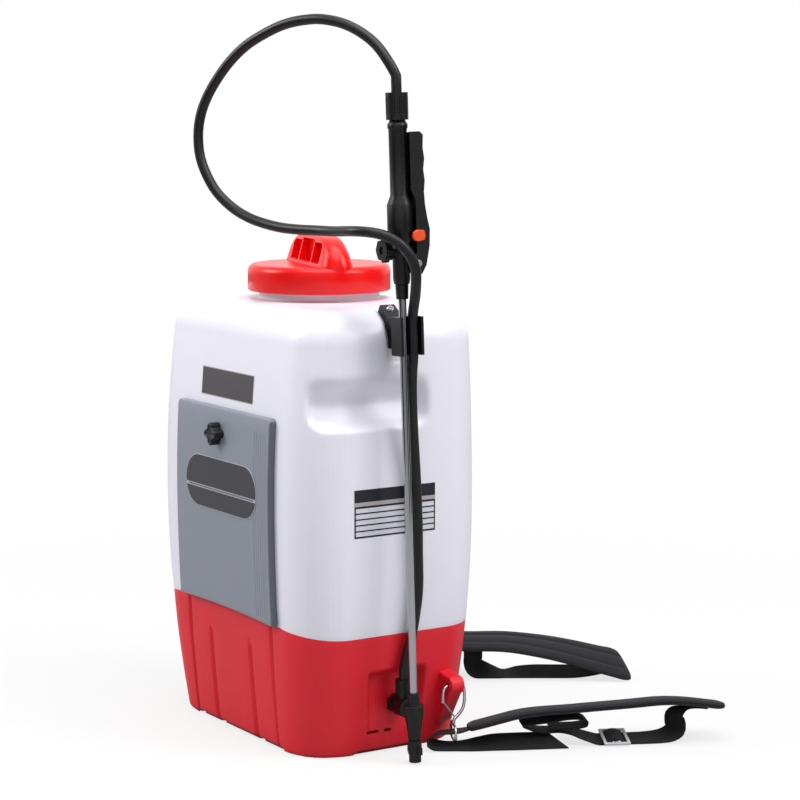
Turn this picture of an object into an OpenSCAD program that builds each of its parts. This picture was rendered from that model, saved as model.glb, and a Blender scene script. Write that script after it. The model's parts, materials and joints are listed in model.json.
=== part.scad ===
// Battery backpack sprayer: white tank on a red base, spray lance in a side clip, two shoulder straps.
// Millimetres, +Z up, origin on the floor under the middle of the base, front towards -Y.

/* [Body] */
// full width of the body where it is widest
body_w = 318; // [280:1:360]
// full depth of the body where it is widest
body_d = 208; // [190:1:240]
// height at which the body is widest
mid_z = 240; // [200:1:280]
// how much each side draws in from the widest height to the floor
side_draw_low = 20; // [10:1:30]
// how much each side draws in from the widest height to the shoulder
side_draw_high = 4; // [1:0.5:10]
// how much front and back draw in from the widest height to the floor
face_draw_low = 13; // [6:1:20]
// how much the front leans back from the widest height to the shoulder
front_lean = 9; // [2:1:14]
// how much the back leans forward from the widest height to the shoulder
back_lean = 2; // [0:0.5:6]
// upright corner radius at the widest height
corner_r = 48; // [38:1:56]
// height of the seam between tank and base at the sides
seam_z = 118; // [105:1:130]
// rise of that seam at the middle of the front
seam_arch = 11; // [4:1:16]
// wall thickness of the tank
wall = 3; // [2:0.25:4]
// wall thickness of the base
base_wall = 4; // [3:0.25:5]
// gap left between parts that sit against each other
seat_gap = 0.3; // [0.2:0.05:0.5]

/* [Tank] */
// height of the flat top of the tank
tank_top = 430; // [415:1:450]
// rounding between the sides and the top
shoulder_r = 35; // [25:1:45]
// outer radius of the filler neck
neck_r = 60; // [50:1:66]
// the neck stands this far behind the middle
neck_y = 5; // [0:1:15]
// height of the neck above the tank top
neck_h = 26; // [20:1:34]
// lower edge of the hand recess in each side
grip_low = 316; // [308:1:322]
// upper edge of the hand recess
grip_high = 368; // [362:1:374]
// depth of the hand recess
grip_deep = 22; // [15:1:28]
// width of the battery bay
bay_w = 164; // [150:2:176]
// back of the battery bay
bay_y = -22; // [-30:1:-15]
// floor of the battery bay
bay_low = 142; // [140:1:150]
// top of the battery bay
bay_top = 284; // [270:1:288]

/* [Cap] */
// outer radius of the screw cap
cap_r = 71; // [66:0.5:76]
// height of the cap skirt
cap_h = 26; // [22:1:30]
// turn of the grip bar from the X axis
grip_turn = -16; // [-45:1:45]
// width of the grip bar at its foot
grip_w = 32; // [26:1:38]
// height of the grip bar above the cap
grip_rise = 29; // [22:1:34]

/* [Battery door] */
// width of the cover
cover_w = 194; // [184:1:204]
// top edge of the cover
cover_top = 327; // [318:1:334]
// how far the cover stands out from the tank
cover_t = 7.5; // [6:0.5:10]
// shell thickness of the cover
cover_wall = 2.5; // [2:0.25:3]
// height of the latch knob
knob_z = 302; // [296:1:306]
// radius of the latch knob's stud
stud_r = 3; // [2.5:0.25:3.5]
// width of the badge plate
badge_w = 142; // [120:1:150]
// height of the badge plate
badge_h = 52; // [40:1:60]

/* [Lance] */
// lean of the lance towards the front
lean_front = 1.27; // [0:0.01:2]
// lean of the lance towards the tank
lean_side = 1; // [0:0.01:2]
// outer radius of the steel tube
tube_r = 3.75; // [3.5:0.05:4.5]
// bore radius of the steel tube
tube_bore = 2.75; // [2:0.05:3]
// radius of the handle grip
hold_r = 8.5; // [8:0.1:9]
// radius of the thick part of the handle
barrel_r = 12; // [11.5:0.1:12.2]
// radius of the trigger pin
pin_r = 2; // [1.6:0.1:2.4]
// clearance of a turning or sliding fit
run = 0.08; // [0.05:0.01:0.1]
// radius of the spray hose
hose_r = 4.9; // [4.5:0.1:5.1]

/* [Straps] */
// width of the webbing
web_w = 25; // [20:1:26]
// thickness of the webbing
web_t = 1.6; // [1.2:0.1:2]
// width of a shoulder pad
pad_w = 45; // [38:1:50]
// thickness of a shoulder pad
pad_t = 9; // [6:0.5:10]
// radius of the hook wire
wire_r = 1.6; // [1.4:0.1:1.8]

/* [Hidden] */
$fn = 48;

arc_n = 6;
shoulder_z = tank_top - shoulder_r;
tank_floor = seam_z - 18;
plug_in = base_wall + 4;
neck_top = tank_top + neck_h;
cap_low = neck_top - 18;
cap_top = cap_low + cap_h;
cap_under = cap_top - 3.2;
cover_low = seam_z + seam_arch + 1;
bay_half = bay_w / 2;
door_y = -(body_d / 2 + cover_t);
outlet_y = 4;
outlet_z = 47;
panel_deep = 6;
panel_x = half_w(outlet_z) - panel_deep;
leg_x = panel_x + 17.93;
leg_top = 74;
clip_s = 406;
hose_off = 10.4;
lance_foot = [body_w / 2 + 32, -4.5, 2];
pump_y = 36;
pump_z = 42;
ear_z = 62;
ear_x = half_w(ear_z) + 15;
ear_y = back(ear_z) - 38.85;
screw_x = half_w(0) - 20;
screw_y = front(0) - 20;
groove_far = 84 * body_w / 318;
groove_near = 40 * body_w / 318;
near_turn = 64.5;
far_turn = 57.2;

// body outline: half width, front and back at any height
function draw_in(z, low, high) = z < mid_z
    ? low * pow((mid_z - z) / mid_z, 2)
    : high * pow((z - mid_z) / (shoulder_z - mid_z), 2);
function half_w(z) = body_w / 2 - draw_in(z, side_draw_low, side_draw_high);
function front(z) = body_d / 2 - draw_in(z, face_draw_low, front_lean);
function back(z) = body_d / 2 - draw_in(z, face_draw_low, back_lean);
function corner(z) = corner_r * half_w(z) / (body_w / 2);
function ramp(v, a, b) = max(0, min(1, (v - a) / (b - a)));
function arch(x, y) = y < 0 ? seam_arch * (1 - pow(min(1, abs(x) / half_w(seam_z)), 3)) : 0;

// one corner of a rounded outline
function bend(cx, cy, r, from) = [for (i = [0:arc_n])
    [cx + r * cos(from + 90 * i / arc_n), cy + r * sin(from + 90 * i / arc_n)]];
function back_to_front(v) = [for (i = [len(v) - 1:-1:0]) v[i]];

// rounded outline with extra points along the sides, the back and the front
function plan(a, f, k, r, sides, rear, face) = concat(
    bend(a - r, r - f, r, -90), [for (y = sides) [a, y]],
    bend(a - r, k - r, r, 0), [for (x = rear) [-x, k]],
    bend(r - a, k - r, r, 90), [for (y = back_to_front(sides)) [-a, y]],
    bend(r - a, r - f, r, 180), [for (x = face) [x, -f]]);

// triangles that join a stack of equal rings
function skin(n, m) = [for (i = [0:m - 2], j = [0:n - 1], h = [0, 1])
    let (p = i * n + j, q = i * n + (j + 1) % n)
    h == 0 ? [p, p + n, q + n] : [p, q + n, q]];
function joined(rings) = [for (r = rings) each r];
function total(v, i) = i < 0 ? v[0] * 0 : v[i] + total(v, i - 1);
function middle(ring) = total(ring, len(ring) - 1) / len(ring);
module closed_stack(rings) {
    n = len(rings[0]);
    m = len(rings);
    points = concat(joined(rings), [middle(rings[0]), middle(rings[m - 1])]);
    low = [for (j = [0:n - 1]) [j, (j + 1) % n, n * m]];
    high = [for (j = [0:n - 1]) [(m - 1) * n + (j + 1) % n, (m - 1) * n + j, n * m + 1]];
    polyhedron(points, concat(skin(n, m), low, high), convexity = 10);
}
module looped_stack(rings) {
    n = len(rings[0]);
    m = len(rings);
    all = joined(concat(rings, [rings[0]]));
    faces = [for (t = skin(n, m + 1)) [for (v = t) v % (n * m)]];
    polyhedron([for (i = [0:n * m - 1]) all[i]], faces, convexity = 10);
}

// hand recess on both sides, and the shallow seat of the lance clip on the right
function grip_dent(y, z) = grip_deep * ramp(y, -96, -78) * (1 - ramp(y, 24, 38))
    * (z < grip_high - 12 ? ramp(z, grip_low, grip_high - 18) : 1 - ramp(z, grip_high - 12, grip_high));
function clip_dent(y, z) = 6 * ramp(y, -28, -24) * (1 - ramp(y, 10, 14))
    * ramp(z, grip_high, grip_high + 6);
function dent(x, y, z) = max(grip_dent(y, z), x > 0 ? clip_dent(y, z) : 0);

// one level of the tank wall; bay is 1 where the battery bay is open
function tank_ring(z, in, bay, inner, lift) =
    let (zz = min(z, shoulder_z), a = half_w(zz) - in, f = front(zz) - in, k = back(zz) - in)
    let (r = max(corner(zz) - in, 6), w = bay_half + (inner ? wall : 0))
    [for (p = plan(a, f, k, r, [-40, -28, -24, 10, 14, 24, 38], [-40, 0, 40],
            [-w - 2, -w, -w / 3, w / 3, w, w + 2]))
        [abs(p[0]) > a - r - 1 ? p[0] - sign(p[0]) * dent(p[0], p[1], z) : p[0],
         bay == 1 && p[1] < 0.01 - f && abs(p[0]) < w + 0.01 ? bay_y + (inner ? wall : 0) : p[1],
         z + (lift == 1 ? arch(p[0], p[1]) : 0)]];
function shoulder_ring(t, in, inner) =
    tank_ring(shoulder_z + (shoulder_r - in) * sin(t), in + (shoulder_r - in) * (1 - cos(t)), 0, inner, 0);
function neck_ring(r, z) = [for (p = shoulder_ring(90, 0, false))
    let (t = atan2(p[1] - neck_y, p[0])) [r * cos(t), neck_y + r * sin(t), z]];

tank_seam = seam_z + seat_gap;
side_levels = [190, mid_z];
grip_levels = [grip_low, grip_low + 17, grip_high - 18, grip_high - 12, grip_high - 6, grip_high,
    grip_high + 6, shoulder_z];
module tank() {
    outside = concat(
        [tank_ring(tank_floor, plug_in + 4, 0, false, 0), tank_ring(tank_floor + 5, plug_in, 0, false, 0),
         tank_ring(tank_seam, plug_in, 0, false, 1), tank_ring(tank_seam, 0, 0, false, 1),
         tank_ring(bay_low - 0.4, 0, 0, false, 0), tank_ring(bay_low, 0, 1, false, 0)],
        [for (z = side_levels) tank_ring(z, 0, 1, false, 0)],
        [tank_ring(bay_top, 0, 1, false, 0), tank_ring(bay_top + 2, 0, 0, false, 0)],
        [for (z = grip_levels) tank_ring(z, 0, 0, false, 0)],
        [for (t = [22.5:22.5:90]) shoulder_ring(t, 0, false)],
        [neck_ring(neck_r - 1, tank_top)]);
    inside = concat(
        [neck_ring(neck_r - 1, tank_top - wall)],
        [for (t = [90:-30:30]) shoulder_ring(t, wall, true)],
        [for (z = back_to_front(grip_levels)) tank_ring(z, wall, 0, true, 0)],
        [tank_ring(bay_top + wall + 2, wall, 0, true, 0), tank_ring(bay_top + wall, wall, 1, true, 0)],
        [for (z = back_to_front(side_levels)) tank_ring(z, wall, 1, true, 0)],
        [tank_ring(bay_low - wall, wall, 1, true, 0), tank_ring(bay_low - wall - 0.4, wall, 0, true, 0),
         tank_ring(tank_seam + wall, wall, 0, true, 1),
         tank_ring(tank_seam + wall, plug_in + wall, 0, true, 1),
         tank_ring(tank_floor + wall, plug_in + wall + 3, 0, true, 0)]);
    color([0.92, 0.92, 0.95]) difference() {
        union() {
            closed_stack(concat(outside, inside));
            translate([0, neck_y, 0]) rotate_extrude($fn = 96)
                polygon([[neck_r - wall - 2, tank_top - wall - 1.5], [neck_r + 6, tank_top - wall - 1.5],
                    [neck_r + 6, tank_top + 0.6], [neck_r + 3, tank_top + 1.4], [neck_r + 1, tank_top + 3],
                    [neck_r, tank_top + 5], [neck_r, neck_top], [neck_r - wall - 2, neck_top]]);
            translate([0, -front(knob_z) + wall - 1, knob_z]) rotate([-90, 0, 0]) cylinder(r = 9, h = 13);
        }
        translate([0, -front(knob_z) - 2, knob_z]) rotate([-90, 0, 0]) cylinder(r = stud_r + 0.8, h = 14);
        translate([-32, pump_y + 12, tank_floor - 2]) cylinder(r = 7, h = 8);
        translate([0, neck_y, tank_top - 12]) cylinder(r = neck_r - wall, h = neck_h + 20, $fn = 96);
    }
}

// one level of the base wall, with the front grooves and the side panels pressed in
function groove(x, z) = abs(abs(x) - groove_far) < 2.5 ? 3
    : abs(abs(x) - groove_near) < 2.5 ? 3 * (1 - ramp(z, seam_z - 30, seam_z - 18)) : 0;
function panel(y, z) = max(0, half_w(z) - panel_x) * ramp(y, -34, -29) * (1 - ramp(y, 34, 39))
    * ramp(z, 12, 16) * (1 - ramp(z, 78, 83));
function base_ring(z, in, lift) =
    let (a = half_w(z) - in, f = front(z) - in, k = back(z) - in, r = corner(z) - in)
    [for (p = plan(a, f, k, r, [-34, -29, 34, 39], [-40, 0, 40],
            [for (g = [-groove_far, -groove_near, 0, groove_near, groove_far])
            each g == 0 ? [0] : [g - 5, g - 2, g + 2, g + 5]]))
        [abs(p[0]) > a - 0.01 ? p[0] - sign(p[0]) * panel(p[1], z) : p[0],
         p[1] < 0.01 - f ? p[1] + groove(p[0], z) : p[1],
         z + (lift == 1 ? arch(p[0], p[1]) : 0)]];
base_levels = [12, 16, 78, 83, seam_z - 30, seam_z - 18];
function ear_side(s) = [s * ear_x, ear_y, ear_z];
module base_shell() {
    color([0.8, 0.16, 0.2]) difference() {
        union() {
            looped_stack(concat(
                [base_ring(0, 3, 0), base_ring(4, 0, 0)], [for (z = base_levels) base_ring(z, 0, 0)],
                [base_ring(seam_z, 0, 1), base_ring(seam_z, base_wall, 1)],
                [for (z = back_to_front(base_levels)) base_ring(z, base_wall, 0)],
                [base_ring(0, base_wall + 1, 0)]));
            for (s = [-1, 1]) strap_ear(s);
            for (x = [-1, 1], y = [-1, 1]) translate([x * screw_x, y * screw_y, 5])
                cylinder(r = 10.5, h = 20);
        }
        for (x = [-1, 1], y = [-1, 1]) translate([x * screw_x, y * screw_y, 4]) cylinder(r = 2, h = 16);
        translate([panel_x - 20, outlet_y, outlet_z]) rotate([0, 90, 0]) cylinder(r = 7, h = 40);
        for (y = [-28, -10]) translate([panel_x - 20, y, 20]) cube([40, 10, 3]);
        translate([half_w(111) - 13, -37, 111]) rotate([0, 90, 0]) cylinder(r = 2.2, h = 20);
        translate([-panel_x - 20, -21, outlet_z - 14.2]) cube([40, 18.4, 28.4]);
        translate([-panel_x - 20, 18, outlet_z]) rotate([0, 90, 0]) cylinder(r = 6.5, h = 40);
    }
}
// moulded ear that carries a strap hook, bored through for its wire
module strap_ear(s) {
    translate([0, ear_y, 0]) rotate([90, 0, 0]) linear_extrude(height = 15, center = true) difference() {
        union() {
            translate([s * ear_x, ear_z]) circle(r = 9);
            translate([s > 0 ? ear_x - 24 : -ear_x, ear_z - 9]) square([24, 18]);
            polygon([[s * (ear_x - 24), 18], [s * (ear_x - 15), 24], [s * (ear_x + 6), ear_z - 6],
                [s * (ear_x - 24), ear_z + 16]]);
        }
        translate([s * ear_x, ear_z]) circle(r = wire_r + 1);
    }
}

// bottom plate
module base_plate() {
    outline = [for (p = base_ring(0, base_wall + 1 + seat_gap, 0)) [p[0], p[1]]];
    color([0.62, 0.1, 0.13]) difference() {
        linear_extrude(height = 4) polygon(outline);
        for (x = [-1, 1], y = [-1, 1]) translate([x * screw_x, y * screw_y, -1]) {
            cylinder(r = 2.2, h = 8);
            cylinder(r = 4.6, h = 3.6);
        }
    }
}
module base_screws() {
    color([0.55, 0.56, 0.58]) for (x = [-1, 1], y = [-1, 1]) translate([x * screw_x, y * screw_y, 0])
        difference() {
        union() {
            translate([0, 0, 0.4]) cylinder(r = 4.2, h = 2.1);
            translate([0, 0, 2]) cylinder(r = 1.9, h = 15);
        }
        for (a = [0, 90]) rotate([0, 0, a]) translate([-2.5, -0.5, 0]) cube([5, 1, 1.4]);
    }
}

battery_z = bay_low + seat_gap;
module battery() {
    color([0.16, 0.17, 0.19]) {
        translate([-75.5, bay_y - 64, battery_z]) cube([151, 62, 94]);
        for (x = [-60, 60]) translate([x - 3, -75, battery_z + 93]) cube([6, 1, 8]);
    }
}

// water path inside the base: tank outlet, suction hose, pump, pressure hose
module tank_outlet() {
    color([0.2, 0.2, 0.22]) translate([-32, pump_y + 12, 0]) difference() {
        union() {
            translate([0, 0, tank_floor - 14]) cylinder(r = 6, h = 12);
            translate([0, 0, tank_floor - 4]) cylinder(r = 12, h = 4 - seat_gap);
            translate([0, 0, tank_floor - 4]) cylinder(r = 6.8, h = 12);
            translate([0, 0, tank_floor + wall + seat_gap]) cylinder(r = 10, h = 4, $fn = 6);
        }
        translate([0, 0, tank_floor - 20]) cylinder(r = 4, h = 40);
    }
}
module suction_hose() {
    color([0.3, 0.3, 0.32]) translate([-32, pump_y + 12, pump_z + 33]) difference() {
        cylinder(r = 8.5, h = tank_floor - pump_z - 38);
        translate([0, 0, -1]) cylinder(r = 6 + run, h = 60);
    }
}
module pump_head() {
    color([0.13, 0.13, 0.14]) {
        translate([-52, pump_y - 36, pump_z - 32]) cube([40, 72, 64]);
        translate([-32, pump_y + 12, pump_z + 31]) cylinder(r = 6, h = 12);
        translate([-13, outlet_y, outlet_z]) rotate([0, 90, 0]) cylinder(r = 5.5, h = 15);
    }
}
module pump_motor() {
    color([0.45, 0.46, 0.48]) translate([-12 + seat_gap, pump_y + 2, pump_z]) rotate([0, 90, 0]) {
        cylinder(r = 19, h = 60);
        cylinder(r = 7, h = 66);
    }
}
module pump_mounts() {
    color([0.1, 0.1, 0.1]) {
        for (y = [-24, 24]) translate([-32, pump_y + y, 4 + seat_gap]) cylinder(r = 8, h = pump_z - 36.6);
        translate([20, pump_y - 6, 4 + seat_gap]) cube([22, 16, pump_z - 24]);
    }
}
module pressure_hose() {
    color([0.12, 0.12, 0.13]) translate([-11.6, outlet_y, outlet_z]) rotate([0, 90, 0]) difference() {
        cylinder(r = 7.5, h = panel_x + 0.93);
        translate([0, 0, -1]) cylinder(r = 5.5 + run, h = panel_x + 10);
    }
}

// hose outlet on the right side: elbow, lock nut against the panel, hose nut on the upright leg
module outlet_elbow() {
    color([0.1, 0.1, 0.11]) translate([0, outlet_y, 0]) difference() {
        union() {
            translate([panel_x - 22, 0, outlet_z]) rotate([0, 90, 0]) cylinder(r = 5.5, h = 16);
            translate([panel_x - base_wall - 3, 0, outlet_z]) rotate([0, 90, 0])
                cylinder(r = 12, h = 3 - seat_gap);
            translate([panel_x - base_wall - 1, 0, outlet_z]) rotate([0, 90, 0]) cylinder(r = 6.5, h = 16);
            translate([leg_x - 8, 0, outlet_z]) rotate([0, 90, 0]) cylinder(r = 9.7, h = 16);
            translate([leg_x, 0, outlet_z]) cylinder(r = 6, h = leg_top - outlet_z - 3);
        }
        translate([panel_x - 30, 0, outlet_z]) rotate([0, 90, 0]) cylinder(r = 3, h = leg_x - panel_x + 32);
        translate([leg_x, 0, outlet_z]) cylinder(r = 3, h = 60);
    }
}
module outlet_lock_nut() {
    color([0.08, 0.08, 0.09]) translate([panel_x + seat_gap + 0.2, outlet_y, outlet_z]) rotate([0, 90, 0])
        difference() {
            cylinder(r = 10, h = 7, $fn = 6);
            translate([0, 0, -1]) cylinder(r = 6.5 + run, h = 10);
        }
}
module outlet_hose_nut() {
    color([0.08, 0.08, 0.09]) translate([leg_x, outlet_y, leg_top - 14]) difference() {
        cylinder(r = 8.6, h = 14);
        translate([0, 0, -1]) cylinder(r = 6 + run, h = 12.1);
        cylinder(r = 3, h = 20);
        for (a = [0:30:330]) rotate([0, 0, a]) translate([9.1, 0, 2]) cylinder(r = 1.2, h = 9, $fn = 16);
    }
}

// switch and charging socket in the left panel
module switch_body() {
    color([0.08, 0.08, 0.09]) translate([-panel_x, -12, outlet_z]) difference() {
        union() {
            translate([-3.5, -11, -16]) cube([3.5 - seat_gap, 22, 32]);
            translate([-1, -9, -14]) cube([24, 18, 28]);
        }
        translate([-6, -7.3, -12]) cube([14, 14.6, 24]);
        translate([-2, -8.5, 0]) rotate([-90, 0, 0]) cylinder(r = 1.5 + run, h = 17);
    }
}
module switch_rocker() {
    color([0.75, 0.1, 0.1]) translate([-panel_x - 2, -12, outlet_z]) rotate([0, -8, 0]) {
        rotate([90, 0, 0]) linear_extrude(height = 14, center = true)
            polygon([[-2.4, -10.8], [-3.2, 0], [-2.4, 10.8], [3, 10.6], [6, 0], [3, -10.6]]);
        rotate([90, 0, 0]) cylinder(r = 1.5, h = 16, center = true);
    }
}
module charge_socket() {
    color([0.1, 0.1, 0.11]) translate([-panel_x, 18, outlet_z]) rotate([0, 90, 0]) {
        difference() {
            union() {
                translate([0, 0, -2.6]) cylinder(r = 8.5, h = 2.6 - seat_gap);
                translate([0, 0, -1]) cylinder(r = 6.3, h = 20);
            }
            translate([0, 0, -3]) cylinder(r = 2.9, h = 14);
        }
        translate([0, 0, -1]) cylinder(r = 0.9, h = 13);
    }
}

// filler: strainer basket with thin mesh fields in the neck, gasket, screw cap with grip bar
strain_r = neck_r - wall - 3;
module strainer() {
    color([0.85, 0.86, 0.88]) translate([0, neck_y, 0]) difference() {
        union() {
            translate([0, 0, neck_top + 0.1]) cylinder(r = neck_r - 0.5, h = 1.5);
            translate([0, 0, neck_top - 58]) cylinder(r = strain_r, h = 59);
        }
        translate([0, 0, neck_top - 56]) cylinder(r = strain_r - 1.6, h = 70);
        for (z = [8, 22, 36], a = [0:22.5:337.5]) translate([0, 0, neck_top - 58 + z]) rotate([0, 0, a])
            translate([strain_r - 0.9, -4, 0]) cube([8, 8, 9]);
        for (x = [-2:2], y = [-2:2]) translate([x * 15 - 4.5, y * 15 - 4.5, neck_top - 60])
            cube([9, 9, 3.1]);
    }
}
module cap_gasket() {
    color([0.12, 0.12, 0.12]) translate([0, neck_y, neck_top + 1.7]) difference() {
        cylinder(r = neck_r, h = cap_under - neck_top - 1.8);
        translate([0, 0, -1]) cylinder(r = neck_r - 7, h = 10);
    }
}
module grip_bar() {
    half = cap_r - 2;
    top = grip_rise;
    intersection() {
        rotate([90, 0, 0]) linear_extrude(height = 60, center = true)
            polygon([[-half, -0.5], [-half + 4, 11], [-half + 13, top - 8], [-half + 27, top - 2],
            [-18, top],
                [18, top], [half - 27, top - 2], [half - 13, top - 8], [half - 4, 11], [half, -0.5]]);
        rotate([90, 0, 90]) linear_extrude(height = 160, center = true)
            polygon([[-grip_w / 2, -0.5], [-grip_w / 2 + 2.5, 14], [-grip_w / 2 + 6, top - 4],
                [-grip_w / 2 + 10, top], [grip_w / 2 - 10, top], [grip_w / 2 - 6, top - 4],
                [grip_w / 2 - 2.5, 14], [grip_w / 2, -0.5]]);
    }
}
module tank_cap() {
    color([0.9, 0.15, 0.15]) translate([0, neck_y, 0]) difference() {
        union() {
            rotate_extrude($fn = 96) {
                translate([0, cap_low]) square([cap_r, cap_h - 7]);
                translate([0, cap_low]) square([cap_r - 7, cap_h]);
                translate([cap_r - 7, cap_top - 7]) circle(r = 7);
            }
            translate([0, 0, cap_top]) rotate([0, 0, grip_turn]) grip_bar();
        }
        translate([0, 0, cap_low - 1]) cylinder(r = neck_r + 2, h = cap_under - cap_low + 1, $fn = 96);
        translate([0, 0, cap_under - 1]) cylinder(r = 3.5, h = 3);
        translate([0, 0, cap_top]) rotate([0, 0, grip_turn]) for (m = [0, 1], x = [-31, 0, 31])
            mirror([0, m, 0]) translate([x - 13, 4.5, 3]) cube([26, 30, grip_rise - 9]);
    }
}
module cap_vent() {
    color([0.15, 0.15, 0.16]) translate([0, neck_y, cap_under - 4.2]) difference() {
        union() {
            cylinder(r = 8, h = 4);
            cylinder(r = 3.5 - run, h = 6);
        }
        translate([0, 0, -1]) cylinder(r = 1, h = 6);
    }
}

// battery door: bowed cover, badge plate, latch knob
low_bow = mid_z * mid_z / (2 * face_draw_low);
high_bow = pow(shoulder_z - mid_z, 2) / (2 * front_lean);
module behind_face(out) {
    intersection() {
        translate([low_bow - body_d / 2, mid_z]) circle(r = low_bow + out, $fn = 1440);
        translate([-160, 0]) square([80, mid_z]);
    }
    intersection() {
        translate([high_bow - body_d / 2, mid_z]) circle(r = high_bow + out, $fn = 1440);
        translate([-160, mid_z]) square([80, 140]);
    }
}
module bowed(w, out, in) {
    rotate([90, 0, 90]) linear_extrude(height = w, center = true) difference() {
        behind_face(out);
        behind_face(in);
    }
}
module cover_outline(in, round) {
    h = cover_w / 2 - in;
    r = round - in;
    rotate([90, 0, 0]) linear_extrude(height = 140) difference() {
        union() {
            translate([-h, cover_low - 12]) square([2 * h, cover_top - in - r - cover_low + 12]);
            translate([r - h, cover_low]) square([2 * h - 2 * r, cover_top - in - cover_low]);
            for (s = [-1, 1]) translate([s * (h - r), cover_top - in - r]) circle(r = r);
        }
        translate([0, cover_low + in - 1800]) circle(r = 1800, $fn = 1440);
    }
}
module battery_cover() {
    color([0.53, 0.55, 0.58]) {
        cover_shell();
        for (s = [-1, 1]) translate([s * 48 - 12, door_y + 4, bay_low + seat_gap]) cube([24, 16, 3]);
    }
}
module cover_shell() {
    difference() {
        intersection() {
            bowed(cover_w, cover_t, 0.5);
            cover_outline(0, 12);
        }
        intersection() {
            bowed(cover_w, cover_t - cover_wall, -2);
            cover_outline(cover_wall, 12);
            translate([-120, -140, cover_low + 6]) cube([240, 140, knob_z - cover_low - 18]);
        }
        translate([0, door_y - 5, knob_z]) rotate([-90, 0, 0]) cylinder(r = stud_r + run, h = 20);
        for (i = [0:5]) intersection() {
            translate([64 + i * 5.2, 0, 0]) bowed(1.8, cover_t + 1, cover_t - 0.9);
            translate([50, -140, cover_low + 4]) cube([60, 140, cover_top - cover_low - 18]);
        }
    }
}
module cover_badge() {
    r = badge_h / 2 - 1;
    color([0.27, 0.27, 0.3]) intersection() {
        bowed(badge_w, cover_t + 0.9, cover_t + 0.1);
        translate([0, 0, 251]) rotate([90, 0, 0]) linear_extrude(height = 140) difference() {
            union() {
                square([badge_w - 2 * r, badge_h], center = true);
                for (s = [-1, 1]) translate([s * (badge_w / 2 - r), 0]) circle(r = r);
            }
            translate([-badge_w, -7]) square([2 * badge_w, 3]);
        }
    }
}
knob_face = -front(knob_z) - cover_t - 0.6;
module cover_knob() {
    color([0.06, 0.06, 0.07]) translate([0, knob_face, knob_z]) rotate([90, 0, 0]) {
        cylinder(r = 7, h = 11);
        for (a = [0:90:270]) rotate([0, 0, a]) translate([7, 0, 2]) cylinder(r = 4.2, h = 8);
        translate([0, 0, -cover_t - 9]) cylinder(r = stud_r, h = cover_t + 10);
    }
}

// lance frame: everything on the lance is drawn along its own upright axis, tip at 0
module on_lance() {
    translate(lance_foot) rotate([lean_front, -lean_side, 0]) children();
}
function lance_at(s, y) = let (t = [0, y * cos(lean_front) - s * sin(lean_front),
        y * sin(lean_front) + s * cos(lean_front)])
    lance_foot + [-t[2] * sin(lean_side), t[1], t[2] * cos(lean_side)];

module nozzle_cap() {
    color([0.07, 0.07, 0.08]) on_lance() difference() {
        union() {
            cylinder(r = 5.8, h = 21);
            translate([0, 0, 8]) cylinder(r = 6.6, h = 12);
            translate([-10, -2.2, 8]) cube([20, 4.4, 7]);
        }
        translate([0, 0, -1]) cylinder(r = 0.7, h = 6);
        translate([0, 0, 3]) cylinder(r = 3.9 + run, h = 30);
    }
}
module nozzle_seal() {
    color([0.1, 0.1, 0.1]) on_lance() translate([0, 0, 21.8]) rotate_extrude() translate([4.75, 0])
        circle(r = 0.7);
}
module nozzle_body() {
    color([0.07, 0.07, 0.08]) on_lance() difference() {
        rotate_extrude() polygon([[0, 6], [3.9, 6], [3.9, 22.6], [6.2, 22.6], [6.2, 27], [9.4, 48],
            [9.8, 48],
            [9.8, 55], [5.9, 56], [5.9, 67], [0, 67]]);
        translate([0, 0, 5]) cylinder(r = 1.4, h = 50);
        translate([0, 0, 46]) cylinder(r = tube_r + run, h = 30);
    }
}
module lance_tube() {
    color([0.75, 0.76, 0.78]) on_lance() translate([0, 0, 46.5]) difference() {
        cylinder(r = tube_r, h = 415);
        translate([0, 0, -1]) cylinder(r = tube_bore, h = 420);
    }
}
module lance_nut() {
    color([0.07, 0.07, 0.08]) on_lance() translate([0, 0, 441]) difference() {
        cylinder(r1 = 5.6, r2 = 6.2, h = 13.7);
        translate([0, 0, -1]) cylinder(r = tube_r + run, h = 20);
    }
}
// handle with its cross valve at 487 and the trigger lug at 474
module handle_body() {
    color([0.06, 0.06, 0.07]) on_lance() difference() {
        union() {
            rotate_extrude() polygon([[0, 455], [7.2, 455], [8, 460], [8, 478], [9.6, 484], [9.6, 492],
                [barrel_r, 496], [barrel_r, 528], [hold_r, 537], [hold_r, 597], [hold_r + 0.9, 599],
                [hold_r + 0.9, 602], [7.4, 605], [7.4, 612.7], [0, 612.7]]);
            translate([0, 0, 487]) rotate([90, 0, 0]) cylinder(r = 8.2, h = 13);
            translate([-5, 0, 467]) cube([10, 15, 13]);
        }
        translate([0, 0, 454]) cylinder(r = tube_r + run, h = 8);
        translate([0, 0, 454]) cylinder(r = 2.4, h = 40);
        translate([0, 0, 495]) cylinder(r = 5, h = 130);
        translate([0, -14, 487]) rotate([-90, 0, 0]) cylinder(r = 5, h = 14);
        translate([0, -2, 487]) rotate([-90, 0, 0]) cylinder(r = pin_r + run, h = 30);
        translate([-20, 11, 474]) rotate([0, 90, 0]) cylinder(r = pin_r + run, h = 40);
    }
}
module handle_hose_nut() {
    color([0.06, 0.06, 0.07]) on_lance() difference() {
        translate([0, 0, 606]) cylinder(r = 10.4, h = 25);
        translate([0, 0, 600]) cylinder(r = 7.4 + run, h = 13);
        translate([0, 0, 600]) cylinder(r = 3, h = 60);
        for (a = [0:24:336]) rotate([0, 0, a]) translate([10.9, 0, 611])
            cylinder(r = 1.2, h = 16, $fn = 16);
    }
}
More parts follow.
